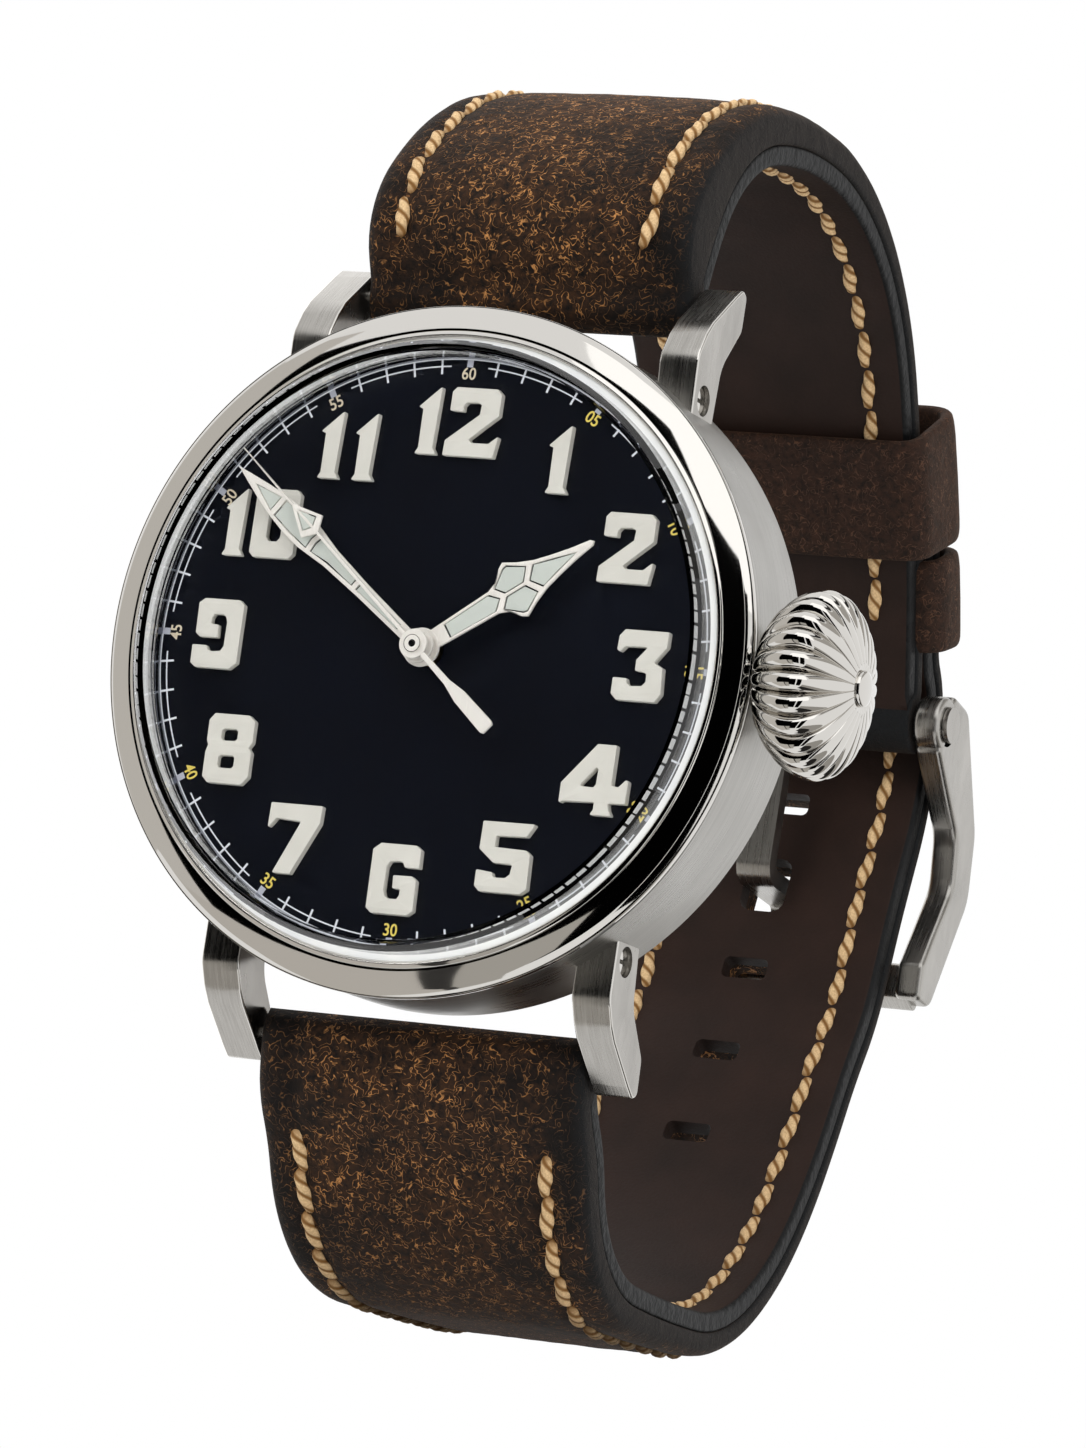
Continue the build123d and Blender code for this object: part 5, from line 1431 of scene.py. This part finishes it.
@dataclass
class StrapHalf:
    """One half of the strap: padded nubuck over a smooth lining, sewn along both edges."""

    name: str
    end: int
    route: Route
    thickness: list[float]
    half_width: float = 11.6
    tip_half_width: float = 10.0
    taper_end: float = 51.2
    lining: float = 1.4
    start_radius: float = 1.8
    loop_radius: float = 0.0
    loop_lift: float = 1.9
    tip_round: float = 0.0
    top_corner: float = 1.25
    low_corner: float = 0.3
    corner_limits: Place = (0.6, 0.5, 0.9)
    along_step: float = 0.55
    top_columns: int = 34
    stitch_inset: float = 2.75
    stitch_pitch: float = 3.1
    stitch_length: float = 3.45
    stitch_radius: float = 0.45
    stitch_turns: float = 1.1
    stitch_start: float = 4.7
    stitch_stop: float = 4.0
    stitch_bluntness: float = 3.2
    stitch_ply: float = 0.15
    stitch_sink: float = 0.6
    stitch_flatness: float = 0.8
    stitch_rise: float = 0.1
    lining_stitch_rise: float = -0.02
    stitch_slant: float = 7.0
    stitch_wobble: float = 5.0
    channel_depth: float = 0.24
    channel_width: float = 0.7
    slots: list[Point] = field(default_factory=list)
    slot_width: float = 3.4
    gap_length: float = 0.0
    gap_half: float = 1.7
    swell: float = 1.0
    swell_peak: float = 4.2
    swell_width: float = 0.1
    taper_lead: float = 1.5
    tip_share: float = 0.35
    edge_drop: float = 0.14
    padding_drop: float = 0.21
    unpadded: float = 3.0
    wave_sizes: Point = (0.45, 0.32)
    waves: Line = ((0.09, 1.0), (0.05, 3.1))
    lining_inset: float = 0.12
    lining_corners: Point = (0.25, 0.4)
    cut_height: float = 14.0
    slot_round: float = 0.28

    def build(self, shop: Workshop) -> None:
        """Make the two layers and their stitches."""
        leather = self.layer(Layer.LEATHER)
        lining = self.layer(Layer.LINING)
        for wanted, cutter in ((self.slots, self.slot_cutter), (self.gap_length, self.gap_cutter)):
            if wanted:
                leather = carved(leather, cutter())
                lining = carved(lining, cutter())
        outer = shop.piece(f"{self.name}_outer_leather", leather, [Coat.NUBUCK], "case", "strap_nubuck",
                           [f"{self.name}_leather"], sharp=60, weighted=False)
        shop.piece(f"{self.name}_wrist_lining", lining, [Coat.LINING, Coat.EDGE], "case",
                   "strap_lining", [f"{self.name}_lining"], sharp=50, weighted=False)
        shop.piece(f"{self.name}_stitches", self.stitches(), [Coat.THREAD], "case", "strap_nubuck",
                   sharp=80, weighted=False)

    def width_at(self, distance: float) -> float:
        """Half width at a distance along, tapered to the buckle and rounded at a free tip."""
        depth = self.route.at(distance)[0].x
        share = min(1.0, max(0.0, (depth + self.taper_lead) / (self.taper_end + self.taper_lead)))
        half = self.half_width + (self.tip_half_width - self.half_width) * share
        half += self.swell_width * self.swell_at(distance)
        left = self.route.length - distance
        if self.tip_round and left < self.tip_round:
            bow = math.sqrt(max(0.0, 1 - (1 - left / self.tip_round) ** 2))
            half *= self.tip_share + (1 - self.tip_share) * bow
        return half

    def thick_at(self, distance: float) -> float:
        """Whole thickness at a distance along."""
        marks = self.route.marks
        for index in range(len(marks) - 1):
            if distance <= marks[index + 1]:
                break
        share = min(1.0, max(0.0, (distance - marks[index]) / (marks[index + 1] - marks[index])))
        share = share * share * (3 - 2 * share)
        plain = self.thickness[index] + (self.thickness[index + 1] - self.thickness[index]) * share
        return plain + self.swell * self.swell_at(distance)

    def swell_at(self, distance: float) -> float:
        """Share of the extra padding just beyond the lugs, at a distance along."""
        along = max(0.0, distance) / self.swell_peak
        return (along * math.exp(1 - along)) ** 2

    def bounds_at(self, distance: float, layer: Layer) -> tuple[float, float]:
        """Lowest and highest offset of a layer from the wrist side, loops at its ends included."""
        high = self.thick_at(max(0.0, distance))
        low = 0.0
        split = self.lining
        if distance < self.start_radius:
            bow = math.sqrt(max(0.0, self.start_radius ** 2 - distance ** 2))
            split = min(self.lining, self.start_radius - bow)
            if distance < 0:
                high = self.start_radius + bow
        past = distance - self.route.length
        if self.loop_radius and past > -self.loop_radius:
            bow = math.sqrt(max(0.0, self.loop_radius ** 2 - past ** 2))
            split = min(self.lining, self.loop_lift - bow)
            high = max(high, self.loop_lift + bow) if past < 0 else self.loop_lift + bow
        return (split, high) if layer is Layer.LEATHER else (low, max(split, low))

    def point(self, distance: float, across: float, offset: float) -> Vector:
        """Place on the strap, from the distance along, the way across and the offset outwards."""
        place, heading = self.route.at(distance)
        out = place + Vector((-math.sin(heading), math.cos(heading))) * offset
        return Vector((across, out.x, out.y * self.end))

    def section(self, half: float, low: float, high: float, top: float, bottom: float) -> list[Point]:
        """Closed section of a layer, from the middle of its wrist side round by the crown's side.

        Args:
            half: Half its width.
            low: Lowest offset from the wrist side.
            high: Highest offset.
            top: Radius of its upper corners.
            bottom: Radius of its lower corners.

        Returns:
            Points as (across, offset).
        """
        deep = high - low
        deep_share, half_share, rest_share = self.corner_limits
        top = min(top, deep * deep_share, half * half_share)
        bottom = min(bottom, max(0.0, deep - top) * rest_share)
        flat_steps, low_steps, side_steps, high_steps = 12, 4, 2, 7
        points = [((half - bottom) * i / flat_steps, low) for i in range(flat_steps)]
        for i in range(low_steps):
            angle = math.radians(90 * i / low_steps)
            points.append((half - bottom + bottom * math.sin(angle), low + bottom - bottom * math.cos(angle)))
        points += [(half, low + bottom + (deep - top - bottom) * i / side_steps) for i in range(side_steps)]
        for i in range(high_steps):
            angle = math.radians(90 * i / high_steps)
            points.append((half - top + top * math.cos(angle), high - top + top * math.sin(angle)))
        points += [((half - top) * (1 - i / self.top_columns), high) for i in range(self.top_columns)]
        points.append((0.0, high))
        return points + [(-x, y) for x, y in points[-2::-1]]

    def relief(self, distance: float, across: float, half: float, thick: float) -> float:
        """How far the top of the leather lies under its full thickness.

        Args:
            distance: Distance along.
            across: Distance from the middle line.
            half: Half the width there.
            thick: The whole thickness there.

        Returns:
            The drop from channel, edge, padding and the leather's own waves.
        """
        inset = half - abs(across)
        line = (inset - self.stitch_inset) / self.channel_width
        drop = self.channel_depth * math.exp(-line * line)
        if inset < self.stitch_inset:
            drop += self.edge_drop * (1 - inset / self.stitch_inset)
        drop += self.padding_drop * (thick - self.unpadded) * (across / half) ** 2
        seed = Vector((across * self.wave_sizes[0], distance * self.wave_sizes[1], self.end * 7.0))
        return drop + sum(deep * (0.5 + 0.5 * noise.noise(seed * finer)) for deep, finer in self.waves)

    def layer(self, layer: Layer) -> Mesh:
        """One layer, closed; its UV map is 0 on the middle of its top and 1 where the top's edge begins."""
        leather = layer is Layer.LEATHER
        start = -self.start_radius if leather else 0.0
        stop = self.route.length + (self.loop_radius if leather else 0.0)
        if self.loop_radius and not leather:
            stop = self.route.length - math.sqrt(self.loop_radius ** 2 - self.loop_lift ** 2)
        inset, corners = (0.0, (self.top_corner, self.low_corner)) if leather else (
            self.lining_inset, self.lining_corners)
        rows = round((stop - start) / self.along_step)
        rings = []
        for row in range(rows + 1):
            distance = start + (stop - start) * row / rows
            low, high = self.bounds_at(distance, layer)
            half = self.width_at(max(0.0, min(distance, self.route.length)))
            rings.append((distance, half, low, high, self.section(half - inset, low, high, *corners)))
        around = len(rings[0][4]) - 1
        bm, cells = grid(around, rows)
        uv = bm.loops.layers.uv.new("strap")
        for face in bm.faces:
            for loop in face.loops:
                column, row = cells[loop.vert]
                loop[uv].uv = ((column - around / 2) / self.top_columns, rings[row][0] / 10)
        for vert, (column, row) in cells.items():
            distance, half, low, high, ring = rings[row]
            across, offset = ring[column]
            if leather and high - low > 1.0:
                share = max(0.0, (offset - low) / (high - low) - 0.5) * 2
                offset -= share * self.relief(distance, across, half, high)
            vert.co = self.point(distance, across, offset)
        merged(bm, 2 * SOFT_SEAM)
        bmesh.ops.holes_fill(bm, edges=[e for e in bm.edges if e.is_boundary], sides=0)
        outward(bm)
        if not leather:
            for face in bm.faces:
                face.material_index = int(abs(face.normal.x) > 0.5)
        return bm

    def cutter(self, distance: float, wide: float, long: float, round_ends: bool) -> Mesh:
        """Block that cuts through both layers at a distance along.

        Args:
            distance: Distance along of its middle.
            wide: Its size across the strap.
            long: Its size along the strap.
            round_ends: Whether its corners are rounded.

        Returns:
            The mesh, in place.
        """
        place, heading = self.route.at(distance)
        bm = block(wide, long, self.cut_height)
        if round_ends:
            rounded(bm, edges_by(bm, 2, True), self.slot_round * min(wide, long), 4)
        put = Matrix.Diagonal((1, 1, self.end, 1)) @ Matrix.Translation((0, place.x, place.y))
        return outward(moved(bm, put @ Matrix.Rotation(heading, 4, "X")))

    def slot_cutter(self) -> Mesh:
        """Cutters for all slots of the tail."""
        return gathered(self.cutter(distance, self.slot_width, tall, True) for distance, tall in self.slots)

    def gap_cutter(self) -> Mesh:
        """Cutter for the gap in which the tongue swings."""
        return self.cutter(self.route.length, 2 * self.gap_half, 2 * self.gap_length, False)

    def stitch(self) -> Mesh:
        """One stitch of two twisted plies, lying along Y, drawn in where it enters the leather."""
        bm = bmesh.new()
        bmesh.ops.create_grid(bm, x_segments=12, y_segments=11, size=1.0)
        uv = bm.loops.layers.uv.new("strap")
        for face in bm.faces:
            for loop in face.loops:
                loop[uv].uv = ((loop.vert.co.x + 1) / 2, loop.vert.co.y)
        for vert in bm.verts:
            turn = (vert.co.x + 1) * math.pi
            along = vert.co.y
            blunt = math.sqrt(max(0.0, 1 - abs(along) ** self.stitch_bluntness))
            twist = along * self.stitch_turns * math.pi
            wide = self.stitch_radius * blunt * (1 + self.stitch_ply * math.cos(2 * (turn - twist)))
            sink = -self.stitch_sink * self.stitch_radius * abs(along) ** 3
            vert.co = (wide * math.cos(turn), along * self.stitch_length / 2,
                       self.stitch_flatness * wide * math.sin(turn) + sink)
        return outward(merged(bm, SOFT_SEAM))

    def stitch_seat(self, distance: float, side: int, outer: bool) -> tuple[Vector, Matrix, float]:
        """Where a stitch lies.

        Args:
            distance: Distance along the half's line.
            side: 1 for the row at the crown's side, -1 for the other.
            outer: Whether it lies on the leather, else on the lining.

        Returns:
            Its middle, its turn, and by how much the face it lies on is longer than the line there.
        """
        half = self.width_at(distance)
        across = side * (half - self.stitch_inset)
        thick = self.thick_at(distance)
        offset = thick - self.relief(distance, across, half, thick) if outer else 0.0
        rise = self.stitch_rise if outer else self.lining_stitch_rise
        middle = self.point(distance, across, offset + rise)
        ahead = self.point(distance + 1, side * (self.width_at(distance + 1) - self.stitch_inset),
                           offset) - self.point(distance, across, offset)
        out = self.point(distance, across, 1.0) - self.point(distance, across, 0.0)
        y_axis = ahead.normalized()
        x_axis = y_axis.cross(out if outer else -out).normalized()
        frame = Matrix((x_axis, y_axis, x_axis.cross(y_axis))).transposed().to_4x4()
        return middle, frame, ahead.length

    def stitches(self) -> Mesh:
        """Rows of stitches along both edges, on the leather and on the lining."""
        stop = self.route.length - self.stitch_stop
        parts = []
        for side in (1, -1):
            for outer in (True, False):
                distance = self.stitch_start + self.stitch_pitch / 2
                while distance < stop:
                    middle, frame, stretch = self.stitch_seat(distance, side, outer)
                    wobble = noise.noise(Vector((distance, side * 3.0, outer * 5.0)))
                    slant = self.stitch_wobble * wobble - self.stitch_slant * side
                    parts.append(moved(self.stitch(), Matrix.Translation(middle) @ frame
                                       @ Matrix.Rotation(math.radians(slant), 4, "Z")))
                    further = self.stitch_seat(distance + self.stitch_pitch / stretch, side, outer)[2]
                    distance += 2 * self.stitch_pitch / (stretch + further)
        return gathered(parts)


@dataclass
class Keeper:
    """Loop of leather round the strap, on the long arc behind the wrist."""

    name: str
    node: str
    body: str
    angles: tuple[float, float]
    inner: float
    outer: float
    inner_wall: float = 1.4
    wall: float = 1.4
    half: float = 10.6
    centre: Point = (-27.8231, -14.6501)
    corner: float = 2.4
    low_corner_share: float = 0.7
    run: float = 0.8
    squareness: float = 0.28
    face_round: float = 0.55
    wall_share: float = 0.48
    height_share: float = 0.985
    draw_in: float = 0.05
    bulge: float = 0.07
    bulge_sizes: Point = (0.11, 2.0)

    def build(self, shop: Workshop) -> None:
        """Make the loop as a rounded band that is closed on itself."""
        piece = shop.piece(self.name, self.loop(), [Coat.KEEPER], self.body, "keeper_leather",
                           [self.node], sharp=60, weighted=False)

    def path(self) -> list[Point]:
        """Middle line of the band, a rounded rectangle in short even runs."""
        low = self.inner - self.inner_wall / 2
        high = self.outer + self.wall / 2
        wide = self.half + self.wall / 2
        low_corner = self.corner * self.low_corner_share
        path = corner_rounded([(-wide, low), (wide, low), (wide, high), (-wide, high)],
                              [low_corner, low_corner, self.corner, self.corner], 8)
        dense: list[Point] = []
        for index, here in enumerate(path):
            ahead = path[(index + 1) % len(path)]
            parts = max(1, round(math.dist(here, ahead) / self.run))
            dense += [(here[0] + (ahead[0] - here[0]) * part / parts,
                       here[1] + (ahead[1] - here[1]) * part / parts) for part in range(parts)]
        return dense

    def loop(self) -> Mesh:
        """Sweep a rounded band section round its middle line."""
        path = self.path()
        around, sides = len(path), 28
        middle = sum(self.angles) / 2
        tall = math.radians(self.angles[1] - self.angles[0]) / 2
        bm, cells = grid(around, sides)
        for vert, (column, row) in cells.items():
            column %= around
            tangent = Vector(path[(column + 1) % around]) - Vector(path[column - 1])
            out = Vector((tangent.y, -tangent.x)).normalized()
            turn = FULL_TURN * (row % sides) / sides
            c, s = math.cos(turn), math.sin(turn)
            up = math.copysign(abs(c) ** self.squareness, c)
            deep = math.copysign(abs(s) ** self.face_round, s)
            seed = Vector((column * self.bulge_sizes[0], up * self.bulge_sizes[1], middle))
            bulge = noise.noise(seed) * self.bulge
            place = Vector(path[column]) + out * (
                deep * self.wall * self.wall_share + bulge * abs(deep) - self.draw_in)
            angle = math.radians(middle) + up * tall * self.height_share
            vert.co = (place.x, self.centre[0] + place.y * math.cos(angle),
                       self.centre[1] + place.y * math.sin(angle))
        return outward(merged(bm, SOFT_SEAM))


@dataclass
class Buckle:
    """Bowed pin buckle with its tongue, on a bar through the strap's end loop."""

    depth: float = 51.2
    height: float = 7.0
    drop: float = 19.9
    bow: float = 8.8
    arm_inner: float = 10.35
    arm_width: float = 2.0
    eye_radius: float = 1.99
    arm_bevel: float = 0.42
    fillet: float = 1.2
    far_depth: float = 3.1
    far_drop: float = 18.6
    far_size: Point = (2.2, 3.0)
    far_round: float = 0.7
    far_tilt: float = -25.0
    far_bevel: float = 0.1
    outer_shares: Line = (
        (0.10, -0.115), (0.45, -0.085), (0.97, 0.33), (1.0, 0.58), (0.44, 1.0), (0.15, 0.985),
    )
    inner_shares: Line = ((0.16, 0.86), (0.60, 0.555), (0.55, 0.37), (-0.10, 0.10))
    fillet_shares: tuple[float, ...] = (0.5, 1.2, 3.0, 3.0, 0.8, 0.5, 0.8, 2.0, 2.0, 0.5)

    def build(self, shop: Workshop) -> None:
        """Make the frame, and dress bar and tongue."""
        shop.piece("bowed_buckle_frame", self.frame(), [Coat.SATIN], "buckle", "brushed_steel",
                   ["buckle_frame"], sharp=40)
        shop.dress(Coat.SATIN, "buckle_bar", "buckle_tongue")

    def frame(self) -> Mesh:
        """Two arms with rounded edges and eyes, and the bar across their far ends."""
        places = [(self.depth + self.bow * bow, self.height - self.drop * drop)
                  for bow, drop in self.outer_shares + self.inner_shares]
        outline = corner_rounded(places, [self.fillet * share for share in self.fillet_shares], 8)
        reach = self.arm_inner + self.arm_width / 2
        parts = []
        for side in (1, -1):
            arm = prism(outline, self.arm_inner, self.arm_inner + self.arm_width, self.arm_bevel, 4)
            eye = moved(disc(self.eye_radius, self.arm_width, self.arm_bevel, 4),
                        Matrix.Translation((reach, self.depth, self.height)) @ SIDEWAYS)
            parts.append(outward(moved(gathered([arm, eye]), Matrix.Diagonal((side, 1, 1, 1)))))
        wide, tall = self.far_size
        section = corner_rounded([(-wide / 2, -tall / 2), (wide / 2, -tall / 2), (wide / 2, tall / 2),
                                  (-wide / 2, tall / 2)], self.far_round, 5)
        tilt = Matrix.Rotation(math.radians(self.far_tilt), 2)
        centre = Vector((self.depth + self.far_depth, self.height - self.far_drop))
        bar_outline = [tuple(centre + tilt @ Vector(point)) for point in section]
        return gathered(parts + [prism(bar_outline, -reach, reach, self.far_bevel)])


@dataclass
class Movement:
    """Inner pieces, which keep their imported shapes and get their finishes."""

    brass: tuple[str, ...] = ("mainplate", "movement_bridge", "balance_cock", "balance_wheel")
    steel: tuple[str, ...] = ("bridge_screws", "rotor", "rotor_bearing", "upper_spring_bar",
                              "lower_spring_bar", "movement_holder")

    def build(self, shop: Workshop) -> None:
        """Dress every inner piece."""
        shop.dress(Coat.BRASS, *self.brass)
        shop.dress(Coat.SATIN, *self.steel)


def facing(place: Vector, aim: Vector, roll: float = 0.0) -> Matrix:
    """Matrix that puts a lamp or a camera at a place, turned to an aim and rolled by degrees."""
    back = (place - aim).normalized()
    level = Vector((0, 0, 1)).cross(back).normalized()
    matrix = Matrix((level, back.cross(level), back)).transposed().to_4x4()
    matrix.translation = place * MM
    return matrix @ Matrix.Rotation(math.radians(roll), 4, "Z")


@dataclass(frozen=True)
class Card:
    """Card that shows only as a reflection, placed by its directions from the watch.

    The sides are azimuths from the front towards the crown, the ends elevations, all in degrees.
    """

    name: str
    sides: tuple[float, float]
    ends: tuple[float, float]
    colour: str
    strength: float = 1.0
    reach: float = 600.0

    def build(self) -> None:
        """Draw the card as part of a sphere round the watch, with a plain even glow."""
        columns, rows = 16, 12
        bm, cells = grid(columns, rows)
        for vert, (column, row) in cells.items():
            turn = math.radians(self.sides[0] + (self.sides[1] - self.sides[0]) * column / columns)
            rise = math.radians(self.ends[0] + (self.ends[1] - self.ends[0]) * row / rows)
            vert.co = Vector((math.sin(turn) * math.cos(rise), -math.cos(turn) * math.cos(rise),
                              math.sin(rise))) * self.reach * MM
        material, web = new_material(self.name)
        glow = add_node(web.tree, "ShaderNodeEmission",
                        {"Color": linear(self.colour), "Strength": self.strength})
        web.surface(glow.outputs["Emission"])
        card = linked(self.name, mesh_from(self.name, bm))
        card.data.materials.append(material)
        card.visible_camera = card.visible_diffuse = card.visible_shadow = False
        card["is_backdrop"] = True


@dataclass
class Studio:
    """White studio: camera, soft lamps, floor, and cards that only the metal and crystal see."""

    position: Place = (190.454, -409.493, -62.603)
    aim: Place = (6.834, -5.674, -3.545)
    roll: float = 7.999
    lens: float = 174.03
    sensor: float = 36.0
    floor_size: float = 3000.0
    floor_fade: Point = (130.0, 420.0)
    floor_colour: str = "#F4F4F3"
    background: str = "#FFFFFF"
    ambient: float = 0.5
    lamps: tuple[tuple[str, Place, float, float], ...] = (
        ("key", (-420, -620, 560), 420, 4.0),
        ("fill", (520, -420, 180), 380, 1.6),
        ("top", (60, 120, 760), 520, 3.4),
        ("back", (120, 640, 260), 420, 2.0),
    )
    cards: tuple[Card, ...] = (
        Card("front_black", (-50, 0), (-19, 34), "#020202"),
        Card("front_black_right", (0, 26), (-42, 23), "#020202"),
        Card("front_black_edge", (31, 48), (-42, 23), "#020202"),
        Card("front_white", (-14, 64), (20, 64), "#FFFFFF", 1.5, 630.0),
        Card("low_grey", (-70, -22), (-60, -19), "#CBC7C1"),
        Card("low_stripe", (-22, -17), (-60, -19), "#3C3B3A"),
        Card("low_grey_right", (-17, 0), (-60, -19), "#B7B4AE"),
        Card("left_grey", (-96, -50), (-19, 40), "#D3D0CB"),
        Card("left_white", (-150, -104), (-40, 60), "#FFFFFF", 1.6),
        Card("right_low_grey", (54, 175), (-45, -26), "#A5A29D"),
        Card("right_low_dark", (54, 175), (-72, -45), "#2B2A29"),
        Card("right_high_grey", (70, 175), (30, 48), "#B4B1AC"),
        Card("right_high_dark", (70, 175), (50, 60), "#353433"),
    )

    def build(self, floor_height: float) -> None:
        """Set up the studio round an object whose lowest point is at a height in millimetres."""
        self.camera()
        self.world()
        self.floor(floor_height)
        for lamp in self.lamps:
            self.lamp(*lamp)
        for card in self.cards:
            card.build()
        bpy.context.scene.view_settings.view_transform = "Standard"

    def camera(self) -> None:
        """Camera at the place from which the watch is seen."""
        data = bpy.data.cameras.new("camera")
        data.lens = self.lens
        data.sensor_width = self.sensor
        data.clip_start = 0.01
        holder = linked("camera", data)
        holder.matrix_world = facing(Vector(self.position), Vector(self.aim), self.roll)
        bpy.context.scene.camera = holder

    def world(self) -> None:
        """White where it is seen or mirrored, and a plain soft level as light."""
        world = bpy.data.worlds.new("studio")
        world.use_nodes = True
        world.node_tree.nodes.clear()
        web = Web(world.node_tree)
        path = add_node(web.tree, "ShaderNodeLightPath").outputs
        seen = web.maths("MAXIMUM", path["Is Camera Ray"], path["Is Transmission Ray"])
        level = web.ramp(web.maths("MAXIMUM", seen, path["Is Glossy Ray"]), low=self.ambient)
        light = add_node(web.tree, "ShaderNodeBackground", {"Color": linear(self.background)},
                         {"Strength": level})
        add_node(web.tree, "ShaderNodeOutputWorld", None, {"Surface": light.outputs["Background"]})
        bpy.context.scene.world = world

    def floor(self, height: float) -> None:
        """Pale floor, clear from below and fading out away from the watch."""
        bm = bmesh.new()
        bmesh.ops.create_grid(bm, x_segments=1, y_segments=1, size=self.floor_size * MM / 2)
        moved(bm, Matrix.Translation((0, 0, height * MM)))
        material, web = new_material("studio_floor")
        web.settle({"Base Color": linear(self.floor_colour), "Roughness": 0.9})
        below = add_node(web.tree, "ShaderNodeNewGeometry").outputs["Backfacing"]
        away = add_node(web.tree, "ShaderNodeVectorMath", {"operation": "LENGTH"},
                        {0: web.coordinates.outputs["Object"]}).outputs["Value"]
        near, far = self.floor_fade
        web.clear(web.maths("MAXIMUM", below, web.ramp(away, near * MM, far * MM, kind="SMOOTHSTEP")))
        floor = linked("floor", mesh_from("floor", bm))
        floor.data.materials.append(material)
        floor.visible_glossy = floor.visible_transmission = False
        floor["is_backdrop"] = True

    def lamp(self, name: str, place: Place, size: float, power: float) -> None:
        """Large soft lamp that faces the watch.

        Args:
            name: The lamp's name.
            place: Where it stands.
            size: Side of its square face.
            power: Its power in watts.
        """
        data = bpy.data.lights.new(name, "AREA")
        data.shape = "SQUARE"
        data.size = size * MM
        data.energy = power
        holder = linked(name, data)
        holder.matrix_world = facing(Vector(place), Vector((0, 0, 0)))
        holder.visible_glossy = False


def upper_half() -> StrapHalf:
    """The half at twelve o'clock, which carries the buckle."""
    route = Route([(0.3, 24.61, 84), (2.51, 31.48, 60), (21.0, 38.6, -2), (39.648, 28.334, -57.5),
                   (48.682, 8.739, -73), (49.384, 6.444, -73)])
    return StrapHalf("upper_strap", 1, route, [3.6, 4.6, 4.0, 3.3, 3.3, 3.3], loop_radius=2.2,
                     stitch_start=1.9, stitch_stop=8.0, gap_length=5.0, swell=2.2)


def lower_half() -> StrapHalf:
    """The half at six o'clock, whose tail runs through the buckle and the keepers."""
    route = Route([(0.3, 24.61, 84), (4.1, 31.6, 65), (24.2, 37.9, 0), (39.6, 29.7, -52),
                   (45.11, 20.69, -64), (49.715, 11.51, -75), (53.76, -7.7, -95), (51.41, -12.01, -108.6),
                   (44.87, -26.64, -119.6)])
    half = StrapHalf("lower_strap", -1, route, [3.6, 4.0, 3.3, 3.3, 3.0, 3.0, 3.0, 3.0, 3.0], tip_round=9.0,
                     stitch_stop=9.0, swell=0.0)
    used_height, slot_pitch, used_tall, plain_tall, each_side = 5.54, 6.3, 4.2, 1.6, 3
    search_start, steps = 40, 10
    for index in range(-each_side, each_side + 1):
        want = used_height + index * slot_pitch
        distance = min((abs(route.at(s / steps)[0].y - want), s / steps)
                       for s in range(search_start * steps, int(route.length * steps)))[1]
        half.slots.append((distance, plain_tall if index else used_tall))
    return half


def main() -> None:
    """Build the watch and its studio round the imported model."""
    logging.basicConfig(level=logging.INFO, format="%(name)s %(message)s")
    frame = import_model()
    shop = Workshop(frame["nodes"])
    Case().build(shop)
    Dial().build(shop)
    HandSet().build(shop)
    Crown().build(shop)
    upper_half().build(shop)
    lower_half().build(shop)
    Keeper("sewn_keeper", "fixed_keeper", "case", (18.8, 23.5), 82.4, 86.6, inner_wall=1.0,
           wall=1.2).build(shop)
    Keeper("sliding_keeper", "free_keeper", "keeper", (23.9, 30.3), 79.7, 86.6, wall=1.2).build(shop)
    Buckle().build(shop)
    Movement().build(shop)
    Studio().build(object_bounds()[0][2] / MM)


if __name__ == "__main__":
    main()
